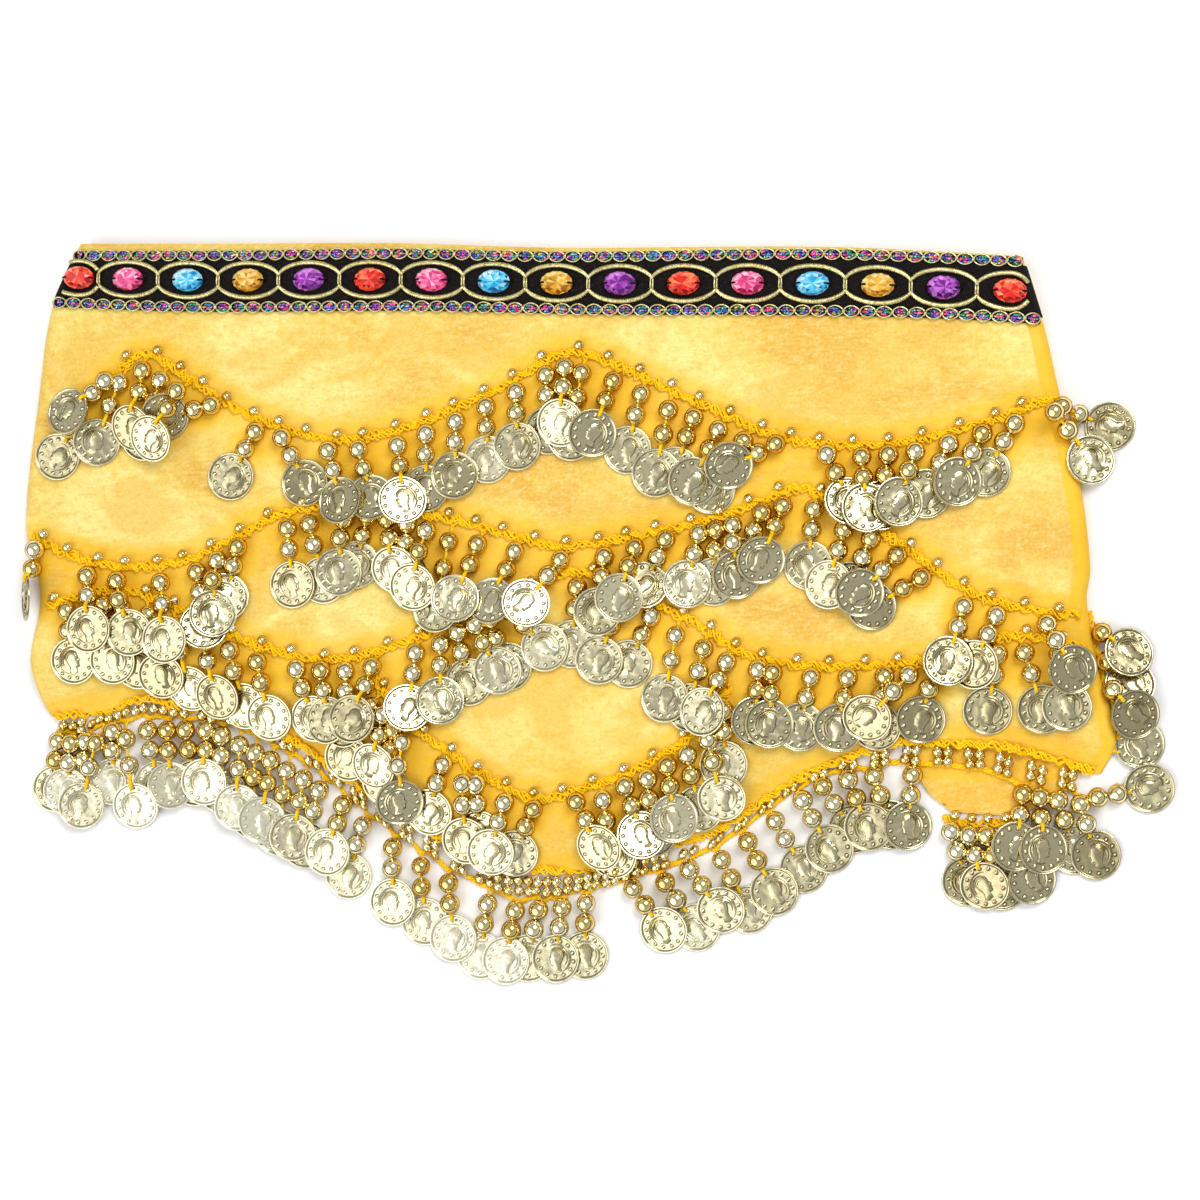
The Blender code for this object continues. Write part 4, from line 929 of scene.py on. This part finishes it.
def build_braid(name, shares, looks, seed):
    """Gimp braid: two gold cords that cross at each tie, with foil stitches in every eye."""
    rng = random.Random(seed)
    lift, cord_lift, cross, full = 0.7, 0.55, 0.3, 0.55     # full: below 1, the eyes are fuller
    tie_half, tie_aside, tie_slant, tie_lift, tie_arch = 0.9, 0.35, 0.1, 0.9, 0.5
    stitch_along, stitch_across, stitch_arch = 1.2, 1.1, 0.25   # the stitches' spacing and rise
    line = trim_surface(np.linspace(0.002, 0.998, 900), sum(shares) / 2, lift)
    walked = lengths(line)
    cells = int(walked[-1] / BRAID_CELL)
    ahead = unit(np.gradient(line, axis=0))
    side = unit(np.cross(UP, ahead))
    depth = TRIM_DEPTH * (shares[1] - shares[0]) / 2 - 0.15
    cord, stitches, ground = Pile(), Pile(), Pile()
    phase = walked / walked[-1] * cells * math.pi
    for way in (1.0, -1.0):
        swing = way * depth * np.sign(np.sin(phase)) * np.abs(np.sin(phase)) ** full
        over = cross * np.cos(phase) * way + cord_lift
        cord.strand(line + side * swing[:, None] + UP * over[:, None], BRAID_CORD_R)
    for k in range(cells + 1):
        at = walked[-1] * k / cells
        centre, across, forward = (between(walked, rows, at) for rows in (line, side, ahead))
        for shift in (-tie_aside, tie_aside):
            cord.strand([centre + across * w * tie_half + forward * (shift + tie_slant * w)
                         + UP * (tie_lift - tie_arch * w * w) for w in np.linspace(-1, 1, 5)],
                        BRAID_TIE_R, tone=0.8)
        if k == cells:
            continue
        centre = between(walked, line, at + walked[-1] / cells / 2)
        for row in (-1, 0, 1):
            for column in (-1.5, -0.5, 0.5, 1.5):
                if row and abs(column) > 1 and rng.random() < 0.5:
                    continue    # half of an eye's corner stitches are left out
                offset = (forward * (column * stitch_along + rng.uniform(-0.2, 0.2))
                          + across * (row * stitch_across + rng.uniform(-0.15, 0.15)))
                length, slant = rng.uniform(0.7, 1.0), rng.uniform(-0.6, 0.6)
                way = forward * math.cos(slant) + across * math.sin(slant)
                base = centre + offset + UP * rng.uniform(-0.1, 0.25)
                path = [base + way * length * w + UP * stitch_arch * (1 - w * w) for w in (-1, 0, 1)]
                stitches.strand(path, FOIL_RS, squash=0.7, tone=rng.random())
    # a flat black chain under the stitches closes the eyes
    chain_down, chain_half, chain_flat = 0.35, 2.15, 0.22
    ground.strand(line - UP * chain_down, chain_half, sides=6, squash=chain_flat, tone=0.1)
    return [cord.make(name + "_gold", looks["gold"], "braid", name),
            stitches.make(name + "_foil", looks["foil"], "braid", crease=40),
            ground.make(name + "_ground", looks["band"], "braid")]


def trim_middle(x):
    """How far up the black band's middle lies, at an x."""
    aside = 4.0     # the trim's upper edge is read this far to the right, its foot to the left
    head, foot = smooth(WAIST_EDGE, x + aside), smooth(TRIM_FOOT, x - aside)
    return float(head + (foot - head) * sum(BLACK_BAND) / 2)


def jewel_places():
    """Each jewel's x, y, slope, number and height of its back."""
    places = [JEWEL_FIRST_X - JEWEL_PITCH * END_PITCH]
    places += [JEWEL_FIRST_X + JEWEL_PITCH * k for k in range(JEWELS - 1)]
    by = 8.0
    return [(x, trim_middle(x), (trim_middle(x + by) - trim_middle(x - by)) / (2 * by), number,
             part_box(f"jewel_{number:02d}")[0][2] / MM) for number, x in enumerate(places)]


def build_scrolls(material):
    """Ribbed gold cord in pointed ovals, tied where two of them meet."""
    pile = Pile()
    half, waist, belly, cord_lift, rib = JEWEL_PITCH / 2, 2.0, 5.4, 1.9, 0.42
    # how far an oval stays from a fold, where the first one ends as a share of its half length,
    # a tie's half length, and how far its two strands lie from its middle
    fold_in, first_end, tie, tie_aside = 2.0, 0.64, 2.3, 0.5
    for x0, y0, slope, number, _ in jewel_places():
        left = max(-half, float(smooth(LEFT_EDGE, y0)) + fold_in - x0)
        right = half * first_end
        if number:
            right = min(half, float(smooth(RIGHT_EDGE, y0)) - fold_in - x0)
        xs = np.arange(left, right, rib)
        reach = np.where((xs > 0) & (right < half), right * 1.02, half)
        for way in (1.0, -1.0):
            bow = waist + belly * np.clip(1 - (xs / reach) ** 2, 0, 1) ** 0.62
            x, y = x0 + xs, y0 + slope * xs + way * bow
            kept = np.minimum(*inside(x, y)[:2]) > 1.2
            ribs = np.where(np.arange(kept.sum()) % 2 == 0, 1.12, 0.86)
            # thinner towards the ties
            ribs = ribs * (0.75 + 0.25 * np.clip((half - np.abs(xs[kept])) / 3, 0, 1))
            pile.strand(over_front(x[kept], y[kept], cord_lift), ribs, sides=7, squash=0.85)
        if number and right < half:
            continue
        for shift in (-tie_aside, tie_aside):
            y = y0 + slope * right + np.linspace(-tie, tie, 9)
            lift = 1.6 + 0.75 * np.sin(np.linspace(0.2, math.pi - 0.2, 9))
            pile.strand(over_front(np.full(9, x0 + right + shift), y, lift), 0.42, tone=0.9)
    return pile.make("gold_scroll", material, "gold_cord", "scroll_cord")


def build_jewels(looks, thread):
    """Oval faceted stones, each sewn down with dark thread through a hole at each end."""
    sides = 14
    # columns: height, size, turn in facets
    levels = ((0.0, 0.86, 0.0), (0.24, 1.0, 0.0), (0.36, 0.995, 0.0), (0.66, 0.84, 0.5),
              (1.0, 0.56, 0.0))
    # a thread from its hole over the stone's end; columns: x outwards, height over the stone's back
    sewn = ((-0.6, 2.4), (-0.2, 3.0), (0.3, 2.75), (1.2, 1.5), (1.9, 0.4), (2.1, -0.2))
    # a facet's painted light by the way that it faces, brightest towards lit_from, and how far it
    # strays from that at random
    bright, swing, lit_from, stray = 0.34, 0.3, 1.9, 0.4
    rng = random.Random(SEED)
    made, threads = [], Pile()
    for x0, y0, slope, number, base in jewel_places():
        turn = math.atan(slope) + rng.uniform(-0.06, 0.06)
        cos, sin = math.cos(turn), math.sin(turn)
        rings = []
        for rise, size, shift in levels:
            angle = spokes(sides, shift)
            a, b = JEWEL_L / 2 * size * np.cos(angle), JEWEL_W / 2 * size * np.sin(angle)
            rings.append(join(x0 + a * cos - b * sin, y0 + a * sin + b * cos,
                              base + JEWEL_H * rise))
        pile = Pile()

        def facet(tone, *corners):
            pile.add(corners, [np.arange(len(corners))[None]], tone)

        foot, low, girdle, crown, table = rings
        for k in range(sides):
            n = (k + 1) % sides
            light = bright + swing * math.cos(math.tau * (k + 0.5) / sides - lit_from)
            # the stone's lower facets are painted darker, as shade
            facet(0.15, foot[k], foot[n], low[n], low[k])
            facet(0.25, low[k], low[n], girdle[n], girdle[k])
            for most, corners in ((stray, (girdle[k], girdle[n], crown[k])),
                                  (stray, (girdle[n], crown[n], crown[k])),
                                  (stray + 0.1, (crown[k], crown[n], table[n])),
                                  (stray + 0.1, (crown[k], table[n], table[k]))):
                facet(light + rng.uniform(-stray, most), *corners)
        centre = table.mean(axis=0) + (rng.uniform(-0.6, 0.6), rng.uniform(-0.5, 0.5), 0.0)
        # the table's facets: painted reflections, bright or dark at random
        for k in range(sides):
            facet(0.1 + 0.75 * rng.random() ** 2, table[k], table[(k + 1) % sides], centre)
        facet(0.1, *foot[::-1])
        name, look = looks[number % 5]
        made.append(pile.make(f"stone_{number:02d}", look, "jewel_" + name, f"jewel_{number:02d}",
                              crease=0))
        for way in (-1.0, 1.0):
            hole = way * JEWEL_L / 2 * JEWEL_HOLE
            threads.strand([(x0 + hole + way * x, y0 + slope * hole, base + z) for x, z in sewn],
                           0.42, 0.5, sides=6)
    return made + [threads.make("jewel_thread", thread, "black_band")]


# ---- crochet and drops
def spread(centres):
    """A strand's beads moved apart until they only touch, and up until they clear the table."""
    if len(centres) == 2:
        a, b = centres
        push = unit(b - a) * max(0.0, 2.02 * BEAD_SHOWN_R - float(np.linalg.norm(b - a))) / 2
        centres = [a - push, b + push]
    return [np.array((x, y, max(z, BEAD_GROWS * BEAD_SHOWN_R))) for x, y, z in centres]


class Fringe:
    """A crochet piece with its drops, where its solid has them."""

    def __init__(self, node, looks, shapes):
        self.node, self.looks, self.shapes = node, looks, shapes
        self.rng = random.Random(node)
        self.points, self.triangles, near = read_node(node)
        self.drops = read_drops(self.points, near)
        self.threads, self.beads, self.coins, self.small = Pile(), Pile(), Pile(), Pile()

    def level(self, places):
        return level_along(self.points, self.triangles, places)

    def crochet(self, line, right, walked, low, width):
        """Loose lace along a line: two knotted strands, and three that straggle out in loops."""
        rng = self.rng
        wander = [sum(a * np.sin(walked / w + rng.uniform(0, 6.28)) for a, w in
                      ((0.4, 4.1), (0.3, 2.3), (0.4, 9.0))) for _ in range(5)]
        # columns: swing, wave length, phase, lift, how much the swing comes and goes
        plans = ((0.36, 6.2, 0.0, 0.2, 0.1), (0.36, 6.2, 2.6, 0.45, 0.1), (0.62, 7.7, 1.0, 0.35, 0.4),
                 (0.68, 5.3, 3.9, 0.7, 0.5), (0.52, 9.1, 5.0, 0.9, 0.4))
        for (swing, wave, phase, lift, change), stray in zip(plans, wander):
            turn = walked / wave * math.tau + phase + stray
            loop = np.sin(turn) * np.abs(np.sin(turn)) ** change
            loop *= 1.0 - change * (0.5 + 0.5 * np.sin(walked / 6.7 + phase * 2.0 + stray))
            path = line + right * (swing * width * loop + stray * 0.6)[:, None]
            self.threads.strand(join(*path.T, low + THREAD_R + lift + 0.3 * np.cos(turn)), THREAD_R,
                                tone=rng.random())

    def hang(self, wear_and_painted_light):
        """Every drop's threads, beads and coin; the function given sets a coin's least tone by its x,
        which paints light and shade on the coins by where they lie.
        """
        rng, threads = self.rng, self.threads
        for drop in self.drops:
            root, coin, up, down = drop["root"], drop["coin"], drop["up"], drop["down"]
            centres = spread(drop["beads"])
            stops = [root, *centres, coin - down * COIN_R]
            for k, centre in enumerate(centres):
                axis = unit(stops[k + 2] - stops[k]) + [rng.uniform(-0.12, 0.12) for _ in range(3)]
                axis = unit(axis)
                side = unit(np.cross(axis, UP))
                self.beads.copy(self.shapes["bead"], centre, (side, -axis, np.cross(side, -axis)),
                                rng.random(), scale=rng.uniform(0.97, BEAD_GROWS))
            ahead = unit(centres[0] - root)
            wide = unit(np.cross(ahead, UP))
            # two threads from the lace into the first bead, and one between the beads
            for way in (-1.0, 1.0):
                threads.strand([root + wide * way * 1.5 - ahead * 0.6,
                                root + wide * way * 0.5 + ahead * 0.3 + UP * 0.3,
                                centres[0] - ahead * (BEAD_SHOWN_R - 0.4)], THREAD_R * 0.85, 0.7)
            for a, b in zip(centres[:-1], centres[1:]):
                inset = unit(b - a) * (BEAD_SHOWN_R - 0.6)
                threads.strand([a + inset, b - inset], STRAND_R, 0.7)
            hole = coin - down * (HOLE_AT * COIN_SHOWN) + up * 0.35
            rim = coin - down * (COIN_R * COIN_SHOWN + 0.1) + up * 0.3
            # from the last bead over the coin's rim down into its hole, and back under the rim
            last = centres[-1] + unit(rim - centres[-1]) * (BEAD_SHOWN_R - 0.5)
            over = rim + up * 1.15 + down * 0.6
            threads.strand([last, (last + over) / 2 + up * 0.25, over, hole + up * 0.95 - down * 0.35,
                            hole + up * 0.1, hole - up * 0.3], OVER_R, 0.5, sides=6)
            threads.strand([last, rim - up * 0.35 + down * 0.2, hole - up * 0.75, hole - up * 0.3],
                           UNDER_R, 0.6)
            turned = rng.uniform(-0.25, 0.25)
            wing = drop["wing"] * math.cos(turned) + down * math.sin(turned)
            side = self.shapes["face" if rng.random() < FACE_CHANCE else "back"]
            self.coins.copy(side, coin, (wing, np.cross(up, wing), up),
                            wear_and_painted_light(coin[0]) + 0.45 * rng.random(), flip=rng.random() < FLIP_CHANCE,
                            scale=COIN_SHOWN)

    def make(self, name):
        """The pieces; the lace stands for the node."""
        looks, slot = self.looks, "coin_fringe"
        made = [self.threads.make(name + "_lace", looks["thread"], slot, self.node),
                self.beads.make(name + "_beads", looks["bead"], slot),
                self.coins.make(name + "_coins", looks["coin"], slot, crease=50)]
        if self.small.count:
            made.append(self.small.make(name + "_small_beads", looks["bead"], slot))
        return made


def build_row(node, looks, shapes, table, swap=False, width=3.6, bead_step=13.6):
    """A crochet row: its lace, the small beads on its upper edge, and its drops."""
    row = Fringe(node, looks, shapes)
    line, right, walked = curve(table, LACE_STEP, swap)
    low = row.level(line) - 0.25
    row.crochet(line, right, walked, low, width)
    # small beads, each in a loop of thread
    at, last = 4.0, walked[-1] - 2.0
    while bead_step and at < last:
        k = int(np.searchsorted(walked, at))
        place, up = np.append(line[k], low[k] + THREAD_R), np.append(-right[k], 0.0)
        side = np.cross(UP, up)
        foot, head = place + up * width * 0.3, place + up * (width * 0.5 + 1.0)
        for way in (-1.0, 1.0):
            row.threads.strand([foot + side * way * 1.8 + UP * 0.4, head + side * way * 1.35 + UP * 0.9,
                                head + up * 1.3 + UP * 1.3], THREAD_R * 0.8, 0.7)
        row.small.copy(shapes["small"], head + UP * 1.3, (np.cross(side, UP), side, UP),
                       row.rng.random())
        at += bead_step * row.rng.uniform(0.85, 1.15)
    # the coins' least tone, lower towards the rows' ends: painted shade
    row.hang(lambda x: float(np.interp(x, (-180.0, -20.0, 60.0, 150.0), (0.05, 0.3, 0.3, 0.08))))
    return row.make(node), [bead for drop in row.drops for bead in drop["beads"]], list(line[::4])


def net_groups():
    """Middles of the net's bead groups, evenly spaced along its foot."""
    step = 0.5
    places, walked, x = [], NET_PITCH * 0.6, NET_FOOT[0][0]
    while x < NET_FOOT[-1][0] - NET_RUNG_W:
        walked += math.hypot(step, float(smooth(NET_FOOT, x + step) - smooth(NET_FOOT, x)))
        x += step
        if walked >= NET_PITCH:
            places.append(x)
            walked -= NET_PITCH
    return places


def build_hem(looks, shapes):
    """The hem's lace edging, its net of small beads, the zigzag cord below and the drops."""
    hem = Fringe("hem_fringe", looks, shapes)
    rng = hem.rng
    net_from, net_to, step, head_in, foot_in = -232.0, 215.0, 0.6, 1.5, 0.9
    xs = np.arange(net_from, net_to, step)
    head, foot = (join(xs, ys, hem.level(join(xs, ys))) for ys in
                  (smooth(HEM_EDGE, xs) - head_in, smooth(NET_FOOT, xs) + foot_in))

    def on_net(x, share):
        """A point of the net, share from its head to its foot."""
        top = between(xs, head, x)
        return top + (between(xs, foot, x) - top) * share

    line, right, walked = curve(join(xs, smooth(HEM_EDGE, xs) - 0.2), LACE_STEP)
    hem.crochet(line, right, walked, np.interp(line[:, 0], xs, head[:, 2]) - 0.1, 3.4)

    stops, rungs = [], net_groups()
    # single beads fill the net at its left end and in its middle; columns: from, to
    filled = ((net_from, -165.0), (-48.0, 36.0))
    middles = [(a + b) / 2 for a, b in zip(rungs, rungs[1:])
               if any(start < a and b < end for start, end in filled)]
    two_rows = 7.0      # the net's least depth for a second row of beads
    rung_from, rung_to = 0.12, 0.9
    for x in sorted(rungs + middles):
        depth = np.linalg.norm(on_net(x, 1.0) - on_net(x, 0.0))
        top, bottom = on_net(x, rung_from), on_net(x, rung_to)
        middle, down = (top + bottom) / 2, unit(bottom - top)
        along = unit(on_net(x + 1, 0.5) - on_net(x - 1, 0.5))
        reach = min(NET_BEAD_AT, depth * 0.23)
        turned = rng.uniform(-0.15, 0.15)
        along, down = (along * math.cos(turned) + down * math.sin(turned),
                       down * math.cos(turned) - along * math.sin(turned))
        for a in (-1, 1) if x in rungs else (0,):
            for b in (-1, 1) if depth > two_rows else (0,):
                centre = middle + along * a * NET_BEAD_AT + down * b * reach + UP * 1.3
                centre = centre + (rng.uniform(-0.4, 0.4), rng.uniform(-0.4, 0.4), rng.uniform(0, 0.4))
                hem.small.copy(shapes["small"], centre, (along, down, np.cross(along, down)),
                               rng.random(), scale=1.04)
            hem.threads.strand([top + along * a * 2.6 + UP * 0.4,
                                middle + along * a * NET_BEAD_AT + UP * 0.9,
                                bottom + along * a * 2.4 + UP * 0.4], THREAD_R * 0.7, 0.8)
        if x in rungs:
            stops += [bottom - along * 2.6, bottom + along * 2.6]
    # three threads twisted round a path through the rungs' feet and the drops' roots
    stops += [on_net(xs[0], rung_to), on_net(xs[-1], rung_to)] + [drop["root"] for drop in hem.drops]
    stops.sort(key=lambda p: p[0])
    path = bend([p for k, p in enumerate(stops) if k == 0 or p[0] - stops[k - 1][0] > 0.5], 0.8)
    walked = lengths(path)
    x, y, z = path.T
    for phase in (0.0, 2.1, 4.2):
        turn = walked / 5.6 * math.tau + phase + 0.6 * np.sin(walked / 7.0 + phase)
        hem.threads.strand(join(x, y + 0.75 * np.sin(turn), np.maximum(z, 0.9) + 0.35 * np.cos(turn)),
                           THREAD_R * 1.3, tone=rng.random())
    # the coins' least tone, higher towards the hem's left: painted light
    hem.hang(lambda x: float(np.interp(x, (-40.0, 120.0), (0.62, 0.1))))
    return hem.make("hem"), [], list(line[::4])


# ---- studio
def build_studio():
    half = 3.0
    floor_mesh = bpy.data.meshes.new("floor")
    floor_mesh.from_pydata([(x * half, y * half, 0) for x, y in ((-1, -1), (1, -1), (1, 1), (-1, 1))],
                           [], [(0, 1, 2, 3)])
    floor = bpy.data.objects.new("floor", floor_mesh)
    bpy.context.scene.collection.objects.link(floor)
    look = Look("floor_paper")
    shade = look.ramp(look.noise(look.position(), 60.0, 2.0, 0.5),
                      (0.3, (0.93, 0.93, 0.935, 1.0)), (0.7, (0.95, 0.95, 0.955, 1.0)))
    floor_mesh.materials.append(look.paint(Roughness=0.9, Specular_IOR_Level=0.0, Base_Color=shade))

    sky = Look("studio", "worlds")
    ahead = sky.add("TexCoord").outputs["Generated"]
    # a wide panel by the cosine of the angle from its middle, and the room by height
    panel = sky.math("DOT_PRODUCT", ahead, Vector((-0.55, -0.35, 0.76)).normalized(),
                     kind="VectorMath", output=1)
    panel = sky.ramp(panel, (0.79, 0.0), (0.825, 0.06), (0.85, 0.30), (0.87, 0.44), (0.90, 0.46),
                     (0.94, 0.46), (0.97, 0.48), (1.0, 0.62))
    room = sky.ramp(sky.add("SeparateXYZ", Vector=ahead).outputs["Z"], (0.0, 0.03), (0.24, 0.05),
                    (0.38, 0.26), (0.7, 0.20), (1.0, 0.165))
    bpy.context.scene.world = sky.paint("Background", Color=sky.mix(1.0, panel, room, "ADD"),
                                        Strength=2.4)

    # columns: x, y, z, size, watts
    for number, (x, y, z, size, power) in enumerate(((0.60, 0.70, 1.40, 0.75, 15.5),
                                                     (-0.95, -0.75, 1.25, 1.5, 5.0))):
        light = bpy.data.lights.new(f"softbox_{number}", "AREA")
        light.size, light.energy = size, power
        lamp = bpy.data.objects.new(f"softbox_{number}", light)
        lamp.location = (x, y, z)
        lamp.rotation_euler = (-Vector(lamp.location)).to_track_quat("-Z", "Y").to_euler()
        bpy.context.scene.collection.objects.link(lamp)


def build_camera():
    """The camera looks a little from the right, straight across the waist."""
    data = bpy.data.cameras.new("camera")
    data.sensor_width, data.lens, data.clip_end = 36.0, 78.6, 20.0
    camera = bpy.data.objects.new("camera", data)
    camera.location = (0.192, 0.0045, 1.0939)
    camera.rotation_euler = (0.0, math.radians(9.5), 0.0)
    bpy.context.scene.collection.objects.link(camera)
    bpy.context.scene.camera = camera
    bpy.context.scene.view_settings.view_transform = "Standard"


# ---- whole scarf
def main():
    build_camera()
    build_studio()
    looks = {
        "velvet": velvet_material(), "bead": bead_material(), "coin": coin_material(),
        "band": band_material(), "foil": foil_material(),
        "thread": yarn_material("crochet_thread", 1300.0, 0.5, (
            (0.30, colour(248, 178, 0)), (0.55, colour(255, 210, 8)), (0.80, colour(255, 226, 66))),
            Roughness=0.6, Specular_IOR_Level=0.2),
        "gold": yarn_material("gold_yarn", 1100.0, 0.4, (
            (0.30, colour(158, 142, 74)), (0.5, colour(216, 206, 140)), (0.75, colour(250, 246, 206))),
            Metallic=0.75, Roughness=0.34),
    }
    # columns: name, and the colours of the foil where it is deep, middling and pale
    stones = [(name, jewel_material(name, *shades)) for name, *shades in (
        ("red", (150, 4, 8), (255, 38, 28), (255, 150, 100)),
        ("fuchsia", (160, 8, 72), (255, 76, 150), (255, 206, 226)),
        ("blue", (6, 104, 170), (64, 204, 252), (214, 246, 255)),
        ("amber", (160, 88, 6), (238, 178, 44), (255, 232, 150)),
        ("purple", (56, 6, 86), (146, 36, 166), (222, 134, 236)),
    )]
    shapes = {"bead": bead_shape(BEAD_SHOWN_R, 14, 9, 0.75),
              "small": bead_shape(SMALL_BEAD_R, 9, 6, 0.45),
              "face": coin_shape(1.0), "back": coin_shape(0.7)}

    rows = [build_row(node, looks, shapes, table) for node, table in WAVES.items()]
    rows.append(build_hem(looks, shapes))
    fringes, beads, laces = (sum(parts, []) for parts in zip(*rows))
    on_back = build_row("back_fringe", looks, shapes, BACK_WAVE, width=3.0, bead_step=7.5)[0]
    build_row("side_fringe", looks, shapes, SIDE_WAVE, swap=True, width=2.0, bead_step=0)

    velvet = build_velvet(looks["velvet"], beads, laces)
    layers = build_layers(looks["velvet"])
    corner = build_corner(looks["velvet"])
    trim = [build_band(looks["band"]), *build_braid("braid_upper", UPPER_BRAID, looks, 3),
            *build_braid("braid_lower", LOWER_BRAID, looks, 4), build_scrolls(looks["gold"]),
            *build_jewels(stones, looks["band"])]


main()
